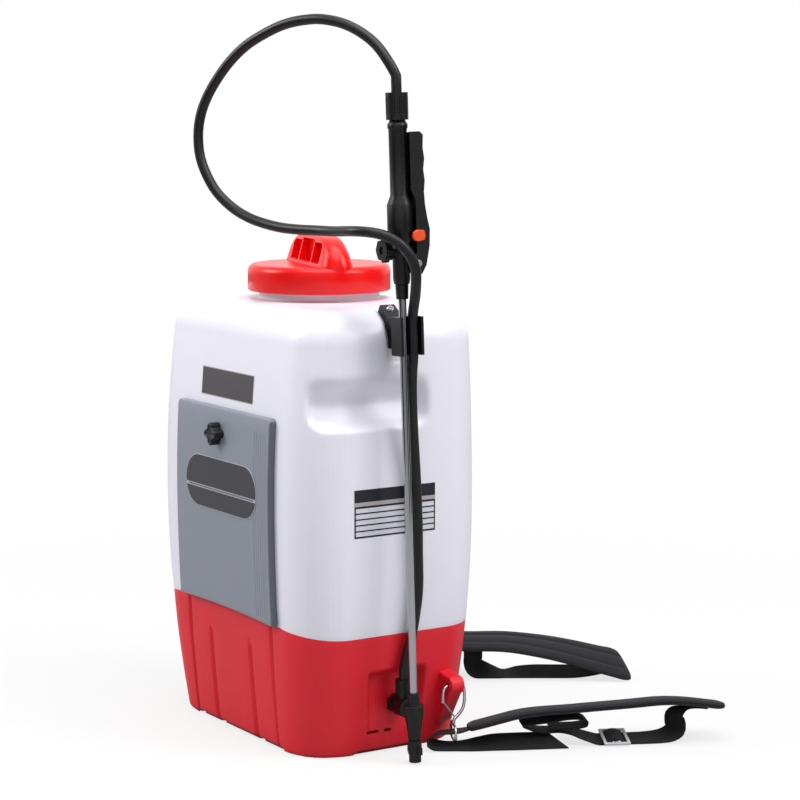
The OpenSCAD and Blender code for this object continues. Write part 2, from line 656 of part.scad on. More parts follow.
module handle_filter() {
    color([0.7, 0.72, 0.7]) on_lance() translate([0, 0, 545]) difference() {
        cylinder(r = 4.6, h = 50);
        translate([0, 0, 2]) cylinder(r = 3.6, h = 60);
        for (z = [6:8:40], a = [0:60:300]) translate([0, 0, z]) rotate([0, 0, a]) translate([2, -1.2, 0])
            cube([4, 2.4, 5]);
    }
}
module valve_plug() {
    color([0.05, 0.05, 0.06]) on_lance() translate([0, -13 - seat_gap, 487]) rotate([90, 0, 0])
        difference() {
        union() {
            cylinder(r = 9.4, h = 8);
            for (a = [0:45:315]) rotate([0, 0, a]) translate([8.8, 0, 1]) cylinder(r = 2.6, h = 6);
            translate([0, 0, -4]) cylinder(r = 5 - run, h = 5);
        }
        translate([0, 0, 6.5]) cylinder(r = 4, h = 3, $fn = 6);
    }
}
module valve_stem() {
    color([0.72, 0.6, 0.3]) on_lance() translate([0, 0, 487]) rotate([-90, 0, 0]) {
        translate([0, 0, -4.5]) cylinder(r = 4.2, h = 2.3);
        translate([0, 0, -4]) cylinder(r = pin_r, h = 23.5);
    }
}
// coil spring between the plug and the stem head
function coil(r, wire, turns, length, steps) = [for (i = [0:steps])
    let (t = 360 * turns * i / steps, c = [r * cos(t), r * sin(t), wire + (length - 2 * wire) * i / steps])
    [for (b = [0:60:300]) c + [wire * cos(b) * cos(t), wire * cos(b) * sin(t), wire * sin(b)]]];
module valve_spring() {
    color([0.7, 0.7, 0.72]) on_lance() translate([0, -9.1, 487]) rotate([-90, 0, 0])
        closed_stack(back_to_front(coil(3.4, 0.4, 3.5, 4.4, 42)));
}

// trigger: channel lever that straddles the handle
module trigger_lever() {
    color([0.06, 0.06, 0.07]) on_lance() difference() {
        intersection() {
            rotate([90, 0, 90]) linear_extrude(height = 25, center = true)
                polygon([[6, 464], [15, 464], [20, 472], [24, 490], [24.6, 505], [22, 516], [20, 528],
                [19.2, 540],
                    [20.4, 550], [19, 560], [20.4, 570], [19, 580], [19.6, 592], [16, 595], [5, 595],
                    [5, 542],
                    [9.8, 532], [9.8, 484], [6, 480]]);
            translate([-12.4, -40, 400]) cube([24.8, 100, 300]);
        }
        rotate([90, 0, 90]) linear_extrude(height = 20.8, center = true)
            polygon([[0, 460], [12.6, 460], [17.6, 472], [21.6, 490], [22.2, 505], [19.6, 516], [17.6, 528],
                [16.8, 540], [16.8, 600], [0, 600]]);
        translate([-20, 11, 474]) rotate([0, 90, 0]) cylinder(r = pin_r + run, h = 40);
        translate([5, 14, 500]) rotate([0, 90, 0]) cylinder(r = 1.8 + run, h = 20);
    }
}
module trigger_pin() {
    color([0.7, 0.71, 0.73]) on_lance() translate([-13.2, 11, 474]) rotate([0, 90, 0]) {
        cylinder(r = pin_r, h = 26.4);
        translate([0, 0, -0.8]) cylinder(r = 3.2, h = 1.2);
        translate([0, 0, 26]) cylinder(r = 3.2, h = 1.2);
    }
}
module trigger_lock() {
    color([0.95, 0.32, 0.08]) on_lance() {
        translate([9, 14, 500]) rotate([0, 90, 0]) cylinder(r = 1.8, h = 4.5);
        translate([12.8, 0, 0]) rotate([90, 0, 90]) linear_extrude(height = 3.4)
            polygon([[5, 495.6], [9, 494.4], [16, 495.4], [17.5, 500], [16, 504.6], [9, 505.2], [4.5, 503],
            [3.6, 499]]);
    }
}

// clip on the shoulder: two open channels hold the tube and the hose
module lance_clip() {
    cx = half_w(shoulder_z) - shoulder_r - 6;
    color([0.05, 0.05, 0.06]) {
        difference() {
            on_lance() {
                translate([-10, -7, clip_s - 18]) cube([17, hose_off + 15, 36]);
                translate([-40, 5, clip_s - 14]) cube([32, hose_off, 28]);
            }
            on_lance() translate([0, 0, clip_s - 30]) {
                cylinder(r = tube_r + 0.15, h = 60);
                translate([0, -tube_r - 0.15, 0]) cube([30, 2 * tube_r + 0.3, 60]);
                translate([0, hose_off, 0]) cylinder(r = hose_r + 0.3, h = 60);
                translate([0, hose_off - hose_r - 0.3, 0]) cube([30, 2 * hose_r + 0.6, 60]);
            }
            translate([cx, -60, shoulder_z]) rotate([-90, 0, 0])
                cylinder(r = shoulder_r + 0.4, h = 120, $fn = 96);
            translate([cx - 60, -60, 340]) cube([shoulder_r + 60.4, 120, shoulder_z - 340]);
        }
        translate([0, 8, 0]) rotate([90, 0, 0]) linear_extrude(height = 16) intersection() {
            difference() {
                translate([cx, shoulder_z]) circle(r = shoulder_r + 8, $fn = 96);
                translate([cx, shoulder_z]) circle(r = shoulder_r + 0.4, $fn = 96);
            }
            polygon([[cx, shoulder_z], [cx + 90, shoulder_z - 4], [cx + 80, shoulder_z + 80],
                [cx + 42, shoulder_z + 80]]);
        }
    }
}
module clip_screw() {
    cx = half_w(shoulder_z) - shoulder_r - 6;
    color([0.75, 0.76, 0.78]) translate([cx, 0, shoulder_z]) rotate([0, 37, 0])
        translate([0, 0, shoulder_r + 8.1]) difference() {
            cylinder(r1 = 4, r2 = 3, h = 2);
            for (a = [0, 90]) rotate([0, 0, a]) translate([-2.2, -0.5, 1]) cube([4.4, 1, 2]);
        }
}

// spray hose from the handle, round a loop, through the clip and down to the outlet
beside = [body_w / 2 - 159, 0, 0];
hose_points = concat([lance_at(631, 0), lance_at(638, 0), lance_at(646, 0)], [for (p = [[172, -24, 663],
    [160, -29, 677], [145, -36, 688], [127, -44, 696], [107, -53, 700], [90, -60, 700], [70, -69, 697],
    [50, -78, 690], [25, -89, 677], [5, -97, 661], [-11, -104, 642], [-22, -109, 624], [-28, -112, 607],
    [-30, -113, 589], [-28, -112, 570], [-20, -109, 552], [-9, -104, 536], [9, -97, 522], [29, -90, 513],
    [48, -83, 508], [68, -76, 505], [88, -69, 504], [106, -62.7, 504], [115.5, -60.1, 504],
    [125.3, -58.3, 504.1], [135.1, -57.3, 504.4], [145.1, -57.1, 505], [155.2, -57.2, 505.6],
    [165.2, -56.5, 506.1], [174.8, -53.3, 506.1], [183.3, -48, 505.5], [190.4, -41, 503.6],
    [196, -33.6, 499.9], [200, -26.6, 494.4], [202.6, -20.6, 487.3], [203.9, -15.8, 479],
    [203.7, -12.7, 470], [201.8, -11, 460.7], [197.9, -8.9, 452.3], [193, -6.4, 444.6],
    [188.2, -4.5, 436.7], [184.8, -3.7, 427.9]]) p + beside],
    [lance_at(clip_s + 12, hose_off), lance_at(clip_s, hose_off), lance_at(clip_s - 18, hose_off)],
    [for (p = [[181, -2, 368], [178, 0, 345], [174, 4, 315], [171, 8, 285], [169, 11, 255],
    [168, 13, 225], [167, 14, 195], [166, 15, 165], [164, 13, 138], [161, 10, 114],
    [159, 6, 96]]) p + beside], [[leg_x, outlet_y, leg_top + 8], [leg_x, outlet_y, leg_top]]);
function unit(v) = v / norm(v);
function heading(p, i) = unit(p[min(i + 1, len(p) - 1)] - p[max(i - 1, 0)]);
// sideways direction carried along the route without twisting
function carry(p, i, v) = let (t = heading(p, i)) unit(v - t * (v * t));
function sides_of(p, i, v) = i >= len(p) ? [] : let (w = carry(p, i, v)) concat([w], sides_of(p, i + 1, w));
function tube_rings(p, r, n) = let (s = sides_of(p, 0, [0, 1, 0]))
    [for (i = [0:len(p) - 1]) let (t = heading(p, i), u = s[i], v = cross(t, u))
        [for (a = [0:n - 1]) p[i] + r * (u * cos(360 * a / n) + v * sin(360 * a / n))]];
module spray_hose() {
    color([0.13, 0.13, 0.14]) closed_stack(tube_rings(hose_points, hose_r, 10));
}

// straps: drawn in an upright plane, u along the floor from the hook, then turned into place
module near_side() {
    translate([ear_x, ear_y, 0]) rotate([0, 0, near_turn]) children();
}
module far_side() {
    translate([-ear_x, ear_y, 0]) rotate([0, 0, far_turn]) children();
}
// width direction of a strip at one point of its route, rolled about the route
function across(t, roll) = let (w = unit([0, 1, 0] - t * t[1])) w * cos(roll) + cross(t, w) * sin(roll);
function spots(p) = [for (q = p) [q[0], q[1], q[2]]];
// webbing: each point is along, across, up and roll; cut slants the last end
function strip_rings(p, cut) = let (c = spots(p), last = len(p) - 1) [for (i = [0:last])
    let (t = heading(c, i), w = across(t, p[i][3]) * web_w / 2, n = cross(t, w) * web_t / web_w)
    let (e = i == last ? t * cut : t * 0)
    [c[i] + w - e + n, c[i] - w + e + n, c[i] - w + e - n, c[i] + w - e - n]];
module strip(p, cut) {
    closed_stack(strip_rings(p, cut));
}
// the webbing rises through a buckle and over its bar
function over_bar(u, v, z, roll, way) = [for (q = [[16, 0], [10.2, 0], [9, 0.3], [3.4, 4.5], [-3.4, 4.5],
        [-9, 0.3], [-10.2, 0], [-16, 0]])
    [u - way * q[0], v - q[1] * sin(roll), z + q[1] * cos(roll), way * roll]];
near_buckle = [159, -3, 3.5];
near_web = concat([[250, 0, 29.7, 12], [238, 0, 31.1, 12], [229, 0, 31.2, 6], [222, -1, 29, -12],
    [219, -2, 24.4, -32], [219.5, -3, 19, -42], [220, -4, 13, -38], [215, -4, 8, -26],
    [205, -3.5, 4.8, -16], [190, -3, 3.6, -12]],
    over_bar(near_buckle[0], near_buckle[1], near_buckle[2], 11, -1),
    [[138, -2, 4.6, -11], [126, 0, 8.4, -8], [115, 2, 12, -4], [104, 3, 13.4, 0], [95, 3, 13.4, 0], [87, 2, 14, 0],
    [79, 1, 15.6, 0], [72, 0, 18.4, 0], [67.4, 0, 20.4, 0], [66.6, 0, 22, 0], [71, 0, 22.8, 0],
    [84, 0, 23.6, 0], [100, 0, 25.6, 0], [114, 0, 27, 0], [125, 0, 26.4, 0], [131, 0, 23.4, 0],
    [130, 0, 19.6, 0], [122, 0, 17.8, 0], [108, 0, 17.6, 0], [94, 0, 18, 0]]);
near_tail = [[13.4, 0, 17.6, 10], [8, 0, 16.4, 7], [0, 0, 15.5, 5], [-12, -1, 14.6, 9],
    [-20, -3, 12.6, 16], [-24.5, -4, 8.6, 18], [-21, -5, 4.8, 14], [-12, -6, 3.2, 8], [0, -7, 2.8, 6],
    [12, -8, 3.4, 10], [24, -9, 4.8, 17], [38, -10, 6.2, 24], [55, -11, 6.6, 26], [72, -11, 6.6, 26],
    [87, -11, 6.6, 26], [101, -11, 6.6, 26]];
far_buckle = [60, 0, 1.4];
far_web = [[362, 4, 10.8, -27], [352, 4, 12.6, -26], [342, 4, 11.4, -25], [328, 4, 8.2, -22],
    [312, 4, 6.2, -21], [290, 4, 6, -21], [270, 4, 6, -21], [252, 4, 5.2, -17], [237, 4, 3.4, -8],
    [226, 3, 5.4, -18], [214, 2, 8.3, -36], [206, 1, 10.8, -50], [203, 0, 17, -55], [203, 0, 25, -55],
    [203, 0, 31.5, -55]];
far_tail = concat([[103.4, 0, 35.4, -8], [95, 0, 33.8, -6], [80, 0, 30.6, 0], [50, 0, 24, 0],
    [20, 0, 18, 0], [0, 0, 15.4, 0], [-12, 0, 14.2, 0], [-19, 0, 12.4, 0], [-22, 0, 8.4, 0],
    [-19, 0, 4.4, 0], [-12, 0, 2.6, 0], [0, 0, 2.2, 0], [20, 0, 1.6, 0]],
    over_bar(far_buckle[0], far_buckle[1], far_buckle[2], 0, 1),
    [[95, 0, 1.4, 0], [118, 0, 1.6, 0]]);
// pads: each point is along, up and roll; cut slants the last end
near_pad = [[14, 18.2, -12], [20, 20.4, -12], [30, 22.6, -12], [45, 26, -12], [65, 30.2, -12],
    [90, 33, -12], [120, 35, -12], [150, 36.4, -12], [180, 38, -12], [203, 38.8, -12], [225, 38, -12],
    [245, 36, -12], [259, 34, -12], [267, 33, -12]];
far_pad = [[104, 36, 8], [110, 37, 9], [125, 38.4, 10], [145, 39.6, 11], [170, 40.4, 12], [200, 40.8, 12],
    [230, 40.4, 13], [255, 38, 15], [280, 34, 18], [305, 28.6, 21], [328, 23.4, 24], [347, 18.8, 26],
    [360, 15.4, 27], [369, 13, 27]];
// padded section: crowned face, drawn-in edges and two sewn channels
pad_shape = [[0.5, 0], [0.475, 0.3], [0.4, 0.46], [0.27, 0.5], [0.2, 0.4], [0.13, 0.5], [0, 0.54],
    [-0.13, 0.5], [-0.2, 0.4], [-0.27, 0.5], [-0.4, 0.46], [-0.475, 0.3], [-0.5, 0], [-0.475, -0.3],
    [-0.4, -0.42], [0, -0.46], [0.4, -0.42], [0.475, -0.3]];
function pad_rings(p, cut) = let (c = [for (q = p) [q[0], 0, q[1]]]) [for (i = [0:len(p) - 1])
    let (t = heading(c, i), w = across(t, p[i][2]), n = cross(t, w), e = min(i, len(p) - 1 - i))
    let (f = pad_w * (e == 0 ? 0.78 : e == 1 ? 0.94 : 1), g = pad_t * (e == 0 ? 0.5 : 1))
    [for (s = pad_shape) c[i] + (w * f - t * (i > len(p) - 4 ? cut : 0)) * s[0] + n * s[1] * g]];
module shoulder_pad(p, cut) {
    closed_stack(pad_rings(p, cut));
}
module strap_web_near() {
    color([0.07, 0.07, 0.08]) near_side() strip(near_web, 0);
}
module strap_web_far() {
    color([0.07, 0.07, 0.08]) far_side() strip(far_web, 0);
}
module strap_pad_near() {
    color([0.16, 0.16, 0.18]) near_side() shoulder_pad(near_pad, 0);
}
module strap_pad_far() {
    color([0.16, 0.16, 0.18]) far_side() shoulder_pad(far_pad, 18);
}
// length that runs from the pad through the hook's eye and back along the floor
module strap_tail_near() {
    color([0.07, 0.07, 0.08]) near_side() strip(near_tail, 9);
}
module strap_tail_far() {
    color([0.07, 0.07, 0.08]) far_side() strip(far_tail, 4);
}
// ladder buckle: frame with a cross bar
module buckle() {
    difference() {
        translate([-13, -web_w / 2 - 4, 1.1]) cube([26, web_w + 8, 2.2]);
        for (x = [-10, 2]) translate([x, -web_w / 2 - 0.8, 0]) cube([8, web_w + 1.6, 6]);
    }
}
module strap_buckle_near() {
    color([0.82, 0.83, 0.85]) near_side() translate(near_buckle) rotate([11, 0, 0]) buckle();
}
module strap_buckle_far() {
    color([0.82, 0.83, 0.85]) far_side() translate(far_buckle) buckle();
}
// wire hook: nose through the ear, body down to an eye that the webbing runs through
module wire(p, n) {
    closed_stack(tube_rings(p, wire_r, n));
}
hook_line = [[0, -12.5, -16], [0, -12.5, -8], [0, -11, -3], [0, -7, -0.4], [0, 0, 0], [0, 7, -0.4],
    [0, 11, -3], [0, 12.5, -8], [0, 12.5, -18], [0, 10.5, -25], [0, 5, -31], [0, 1, -34], [0, 0, -38.6]];
module hook(turn) {
    wire(hook_line, 10);
    rotate([0, 0, turn]) translate([0, 0, -46.5]) rotate([90, 0, 90]) difference() {
        eye(web_w / 2 + 3.4, 9);
        eye(web_w / 2 + 0.8, 6.2);
    }
    translate([0, -12.5, -15]) rotate([39, 0, 0]) translate([0, 0, -24]) cylinder(r = 0.8, h = 24);
}
module eye(w, h) {
    linear_extrude(height = 2.8, center = true) {
        square([2 * (w - h), 2 * h], center = true);
        for (s = [-1, 1]) translate([s * (w - h), 0]) circle(r = h);
    }
}
module strap_hook_near() {
    color([0.78, 0.79, 0.81]) translate(ear_side(1)) hook(near_turn);
}
module strap_hook_far() {
    color([0.78, 0.79, 0.81]) translate(ear_side(-1)) hook(far_turn);
}

tank();
base_shell();
base_plate();
base_screws();
battery();
tank_outlet();
suction_hose();
pump_head();
pump_motor();
pump_mounts();
pressure_hose();
outlet_elbow();
outlet_lock_nut();
outlet_hose_nut();
switch_body();
switch_rocker();
charge_socket();
strainer();
cap_gasket();
tank_cap();
cap_vent();
battery_cover();
cover_badge();
cover_knob();
lance_clip();
clip_screw();
spray_hose();
handle_body();
handle_hose_nut();
handle_filter();
valve_plug();
valve_stem();
valve_spring();
trigger_lever();
trigger_pin();
trigger_lock();
lance_nut();
lance_tube();
nozzle_body();
nozzle_seal();
nozzle_cap();
strap_pad_near();
strap_pad_far();
strap_web_near();
strap_web_far();
strap_tail_near();
strap_tail_far();
strap_buckle_near();
strap_buckle_far();
strap_hook_near();
strap_hook_far();
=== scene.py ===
# Backpack sprayer: a white blow-moulded tank on a red base, with a spray lance, its hose and two padded straps.
import json
from math import atan2, copysign, cos, exp, hypot, pi, radians, sin, sqrt, tau

import bmesh
import bpy
from mathutils import Matrix, Vector


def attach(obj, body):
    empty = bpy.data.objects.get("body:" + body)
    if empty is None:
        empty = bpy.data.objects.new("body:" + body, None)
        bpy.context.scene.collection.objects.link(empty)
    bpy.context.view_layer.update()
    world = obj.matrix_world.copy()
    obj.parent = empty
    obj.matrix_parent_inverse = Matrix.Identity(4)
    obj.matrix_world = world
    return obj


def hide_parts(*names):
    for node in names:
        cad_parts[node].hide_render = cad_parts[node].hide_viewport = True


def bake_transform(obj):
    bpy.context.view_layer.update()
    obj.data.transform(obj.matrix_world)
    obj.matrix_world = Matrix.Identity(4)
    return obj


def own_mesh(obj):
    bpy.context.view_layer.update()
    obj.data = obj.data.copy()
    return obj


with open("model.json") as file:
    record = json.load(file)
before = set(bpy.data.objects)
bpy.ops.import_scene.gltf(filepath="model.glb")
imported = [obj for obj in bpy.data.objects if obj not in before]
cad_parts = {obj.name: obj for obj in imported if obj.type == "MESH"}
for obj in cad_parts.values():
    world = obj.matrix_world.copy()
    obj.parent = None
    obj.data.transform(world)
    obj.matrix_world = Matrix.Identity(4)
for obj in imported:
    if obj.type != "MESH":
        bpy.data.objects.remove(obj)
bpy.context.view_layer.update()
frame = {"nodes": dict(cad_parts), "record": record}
nodes = frame["nodes"]
scene = bpy.context.scene


# ---- Studio
# A pale floor in a white room, with a large soft lamp at the front left, one at the right and one overhead.
# Dark cards that only shiny surfaces see put streaks in the steel. The camera stands to the right of the front.
ROOM_LIGHT, FLOOR_HALF, FLOOR_BOUNCE, FLOOR_TONE = 0.42, 6.0, 0.45, 0.78
CARD_AWAY, CARD_HEIGHT, CARD_TALL = 1.3, 0.8, 1.5


def put(tree, socket, value):
    """Links another node's output to the socket, or sets a plain value."""
    if isinstance(value, bpy.types.NodeSocket):
        tree.links.new(value, socket)
    else:
        socket.default_value = value


def fill(tree, node, **inputs):
    for name, value in inputs.items():
        put(tree, node.inputs[name.replace("_", " ")], value)


def add_node(tree, kind, settings=(), **inputs):
    """Adds a shader node with its settings and inputs, and hands back its outputs."""
    node = tree.nodes.new("ShaderNode" + kind)
    for name, value in dict(settings).items():
        setattr(node, name, value)
    fill(tree, node, **inputs)
    return node.outputs


def add_math(tree, operation, first, second=0.0):
    node = tree.nodes.new("ShaderNodeMath")
    node.operation = operation
    put(tree, node.inputs[0], first)
    put(tree, node.inputs[1], second)
    return node.outputs[0]


def new_material(name):
    material = bpy.data.materials.new(name)
    material.use_nodes = True
    return material, material.node_tree, material.node_tree.nodes["Principled BSDF"]


def studio_card(name, half, placed, paint):
    mesh = bpy.data.meshes.new(name)
    bm = bmesh.new()
    bmesh.ops.create_grid(bm, x_segments=1, y_segments=1, size=half, matrix=placed)
    bm.to_mesh(mesh)
    bm.free()
    mesh.materials.append(paint)
    card = bpy.data.objects.new(name, mesh)
    scene.collection.objects.link(card)
    return card


scene.view_settings.view_transform = "Standard"
room = bpy.data.worlds.new("white_room")
scene.world = room
room.use_nodes = True
tree = room.node_tree
seen = add_node(tree, "LightPath")
looked_at = add_math(tree, "MAXIMUM", seen["Is Camera Ray"], seen["Is Glossy Ray"])
looked_at = add_math(tree, "MAXIMUM", looked_at, seen["Is Transmission Ray"])
strength = add_node(tree, "MapRange", Value=looked_at, To_Min=ROOM_LIGHT, To_Max=1.0)[0]
fill(tree, tree.nodes["Background"], Color=(1, 1, 1, 1), Strength=strength)

floor_paint, tree, coat = new_material("studio_floor_paint")
seen = add_node(tree, "LightPath")["Is Camera Ray"]
tone = add_node(tree, "MapRange", Value=seen, To_Min=FLOOR_BOUNCE, To_Max=FLOOR_TONE)[0]
fill(tree, coat, Base_Color=tone, Roughness=0.9, Specular_IOR_Level=0.1)
away = add_node(tree, "VectorMath", {"operation": "LENGTH"}, Vector=add_node(tree, "TexCoord")["Object"])["Value"]
fade = add_node(tree, "MapRange", {"interpolation_type": "SMOOTHSTEP"}, Value=away, From_Min=0.30, From_Max=1.25,
                To_Min=0.74, To_Max=1.0)[0]
mix = tree.nodes.new("ShaderNodeMixShader")
shares = add_math(tree, "MULTIPLY", seen, fade), coat.outputs[0], add_node(tree, "Emission")[0]
for socket, value in zip(mix.inputs, shares):
    put(tree, socket, value)
fill(tree, tree.nodes["Material Output"], Surface=mix.outputs[0])
studio_card("studio_floor", FLOOR_HALF, Matrix.Identity(4), floor_paint)

for lamp_name, place, aim_height, size, watts in (
    ("front_lamp", (-1.3, -2.1, 1.9), 0.25, 1.6, 43.0),
    ("right_lamp", (1.8, 1.2, 2.0), 0.25, 1.4, 30.0),
    ("top_lamp", (0.5, -0.1, 2.0), 0.3, 1.8, 27.0),
):
    lamp = bpy.data.lights.new(lamp_name, "AREA")
    lamp.shape = "DISK"
    lamp.size = size
    lamp.energy = watts
    stand = bpy.data.objects.new(lamp_name, lamp)
    stand.location = place
    stand.rotation_euler = (Vector((0, 0, aim_height)) - Vector(place)).to_track_quat("-Z", "Y").to_euler()
    scene.collection.objects.link(stand)

card_paint, tree, coat = new_material("studio_card_black")
fill(tree, coat, Base_Color=(0.02, 0.02, 0.02, 1), Roughness=1.0)
upright = Matrix.Translation((CARD_AWAY, 0, CARD_HEIGHT)) @ Matrix.Rotation(pi / 2, 4, "Y")
for card_name, bearing, wide in (
    ("studio_card_right", 67.0, 1.1), ("studio_card_left", -88.0, 1.0), ("studio_card_line", 12.0, 0.45),
):
    stand = Matrix.Rotation(radians(bearing), 4, "Z") @ upright
    card = studio_card(card_name, 0.5, stand @ Matrix.Diagonal((CARD_TALL, wide, 1.0, 1.0)), card_paint)
    card.visible_camera = card.visible_diffuse = card.visible_shadow = card.visible_transmission = False

camera_data = bpy.data.cameras.new("camera")
camera_data.sensor_width = 36.0
camera_data.lens = 106.92
camera = bpy.data.objects.new("camera", camera_data)
camera.location = (2.0311, -1.1985, 0.6393)
camera.rotation_euler = (radians(82.45), 0.0, radians(57.4))
scene.collection.objects.link(camera)
scene.camera = camera


# ---- Tank
# One blow-moulded bottle of white polyethylene, open only at its neck. A hand recess is pressed into each
# side, a bay for the battery into the front, and its foot plugs down into the base.
HALF_WIDE, HALF_DEEP, TANK_WALL = 0.159, 0.104, 0.003
WIDEST, SHOULDER, TANK_TOP = 0.240, 0.395, 0.430
SEAM, SEAM_RISE, SEAM_HALF = 0.1183, 0.011, 0.1538
CORNER, SHOULDER_ROUND, EDGE_ROUND, SLIVER = 0.048, 0.035, 0.0014, 1e-5
BAY_HALF, BAY_BACK, BAY_LOW, BAY_TOP = 0.082, -0.022, 0.142, 0.284
RECESS_FRONT, RECESS_BACK, RECESS_LOW, RECESS_BEND, RECESS_DEEP = -0.093, 0.034, 0.317, 0.016, 0.020
CLIP_SEAT_DEEP, LATCH_Z, LATCH_HALF, NECK_Y, NECK_ROOT = 0.006, 0.302, 0.004, 0.005, 0.0619
NECK_RINGS = (
    (0.0614, 0.430), (0.0608, 0.4303), (0.0603, 0.4309), (0.060, 0.432), (0.060, 0.4362), (0.060, 0.4551),
    (0.0597, 0.4557), (0.0591, 0.456),
)


def linear(red, green, blue):
    """Scene colour of a screen colour that runs from 0 to 255."""
    shares = [c / 255 for c in (red, green, blue)]
    return tuple(((c + 0.055) / 1.055) ** 2.4 if c > 0.0393 else c / 12.92 for c in shares) + (1.0,)


def drawn_in(z, low, high):
    """How far a wall stands back from its widest level: low at the foot, high at the shoulder."""
    z = min(z, SHOULDER)
    return low * ((WIDEST - z) / WIDEST) ** 2 if z < WIDEST else high * ((z - WIDEST) / (SHOULDER - WIDEST)) ** 2


def side_x(z):
    return HALF_WIDE - drawn_in(z, 0.020, 0.004)


def front_y(z):
    return HALF_DEEP - drawn_in(z, 0.013, 0.009)


def back_y(z):
    return HALF_DEEP - drawn_in(z, 0.013, 0.002)


def ramp(value, start, end):
    return max(0.0, min(1.0, (value - start) / (end - start)))


def ease(value, start, end):
    t = ramp(value, start, end)
    return t * t * (3 - 2 * t)


def seam_arch(x, y):
    return SEAM_RISE * (1 - min(1.0, abs(x) / SEAM_HALF) ** 3) if y < 0 else 0.0


def steps(start, end, gap):
    count = max(1, round((end - start) / gap))
    return [start + (end - start) * i / count for i in range(count + 1)]


def cut_across(bm, axis, places):
    for place in places:
        point, normal = Vector(), Vector()
        point[axis], normal[axis] = place, 1.0
        whole = bm.verts[:] + bm.edges[:] + bm.faces[:]
        bmesh.ops.bisect_plane(bm, geom=whole, plane_co=point, plane_no=normal, dist=1e-6)


def rounded(bm, geom, radius, segments, affect="EDGES", clamp_overlap=False):
    bmesh.ops.bevel(bm, geom=geom, offset=radius, offset_type="OFFSET", segments=segments, profile=0.5,
                    affect=affect, clamp_overlap=clamp_overlap, material=-1)


def add_box(bm, size, centre):
    bmesh.ops.create_cube(bm, size=1.0, matrix=Matrix.Translation(centre) @ Matrix.Diagonal((*size, 1.0)))


def rounded_block(bm, low, high):
    add_box(bm, (2 * HALF_WIDE, 2 * HALF_DEEP, high - low), (0, 0, (low + high) / 2))
    rounded(bm, [e for e in bm.edges if abs(e.verts[0].co.z - e.verts[1].co.z) > 0.05], CORNER, 14)


def draw_to_body(v):
    """Moves a corner of the plain block in to the body's drawn walls."""
    z = v.co.z
    v.co.x -= copysign(HALF_WIDE - side_x(z), v.co.x) * ramp(abs(v.co.x), BAY_HALF, HALF_WIDE - CORNER)
    give = HALF_DEEP - (front_y(z) if v.co.y < 0 else back_y(z))
    v.co.y -= copysign(give, v.co.y) * ramp(abs(v.co.y), 0.0, HALF_DEEP - CORNER)


def hand_recess(x, y, z):
    """Depth of the scoop for a hand, or of the clip's seat above it at the right."""
    side, low, bend = min(y - RECESS_FRONT, RECESS_BACK - y), z - RECESS_LOW, RECESS_BEND
    inside = bend - hypot(bend - side, bend - low) if side < bend and low < bend else min(side, low)
    scoop = 0.5 * ease(inside, 0.0, 0.010) + 0.5 * ease(inside, 0.0, 0.018) * ease(z, 0.318, 0.352)
    clip_seat = ease(z, 0.379, 0.386) * (1 - ease(abs(y), 0.0085, 0.0135)) if x > 0 else 0.0
    return max(RECESS_DEEP * scoop * (1 - ease(z, 0.340, 0.371)), CLIP_SEAT_DEEP * clip_seat)


def faces_where(bm, test):
    return [f for f in bm.faces if test(f.normal, f.calc_center_median())]


def verts_of(geom):
    return [g for g in geom if isinstance(g, bmesh.types.BMVert)]


def edges_at(verts):
    return list({e for v in verts for e in v.link_edges})


def face_out(bm):
    bmesh.ops.recalc_face_normals(bm, faces=bm.faces[:])


def extruded_ring(bm, edges, place):
    grown = bmesh.ops.extrude_edge_only(bm, edges=edges)["geom"]
    fresh = set(verts_of(grown))
    for v in fresh:
        v.co = place(v.co)
    return [e for e in grown if isinstance(e, bmesh.types.BMEdge) and fresh.issuperset(e.verts)]


def drop_faces(bm, faces):
    bmesh.ops.delete(bm, geom=faces, context="FACES")


def sink_faces(bm, faces, place):
    """Presses a patch of faces in; the faces that would still close its mouth are taken away."""
    grown = bmesh.ops.extrude_face_region(bm, geom=faces)["geom"]
    drop_faces(bm, faces)
    for v in verts_of(grown):
        v.co = place(v.co)


def at_top(part):
    return all(v.co.z > TANK_TOP - SLIVER for v in part.verts)


def stepped_in(co, depth, height):
    x = co.x - copysign(depth, co.x) * ramp(abs(co.x), 0.0, 0.110)
    y = co.y - copysign(depth, co.y) * ramp(abs(co.y), 0.0, 0.050)
    return x, y, height or co.z


def on_neck(co, radius, height):
    out = Vector((co.x, co.y - NECK_Y)).normalized() * radius
    return out.x, NECK_Y + out.y, height


def skin_group(name, takes, gives):
    """Node group with these sockets: a colour for Colour and a number for each of the others."""
    group = bpy.data.node_groups.new(name, "ShaderNodeTree")
    for sockets, way in ((takes, "INPUT"), (gives, "OUTPUT")):
        for socket in sockets:
            kind = "NodeSocketColor" if socket == "Colour" else "NodeSocketFloat"
            group.interface.new_socket(name=socket, in_out=way, socket_type=kind)
    return group, group.nodes.new("NodeGroupInput").outputs, group.nodes.new("NodeGroupOutput")


def mixed(tree, blend, share, first, second):
    mix = tree.nodes.new("ShaderNodeMix")
    mix.data_type, mix.blend_type = "RGBA", blend
    for index, value in ((0, share), (6, first), (7, second)):
        put(tree, mix.inputs[index], value)
    return mix.outputs[2]


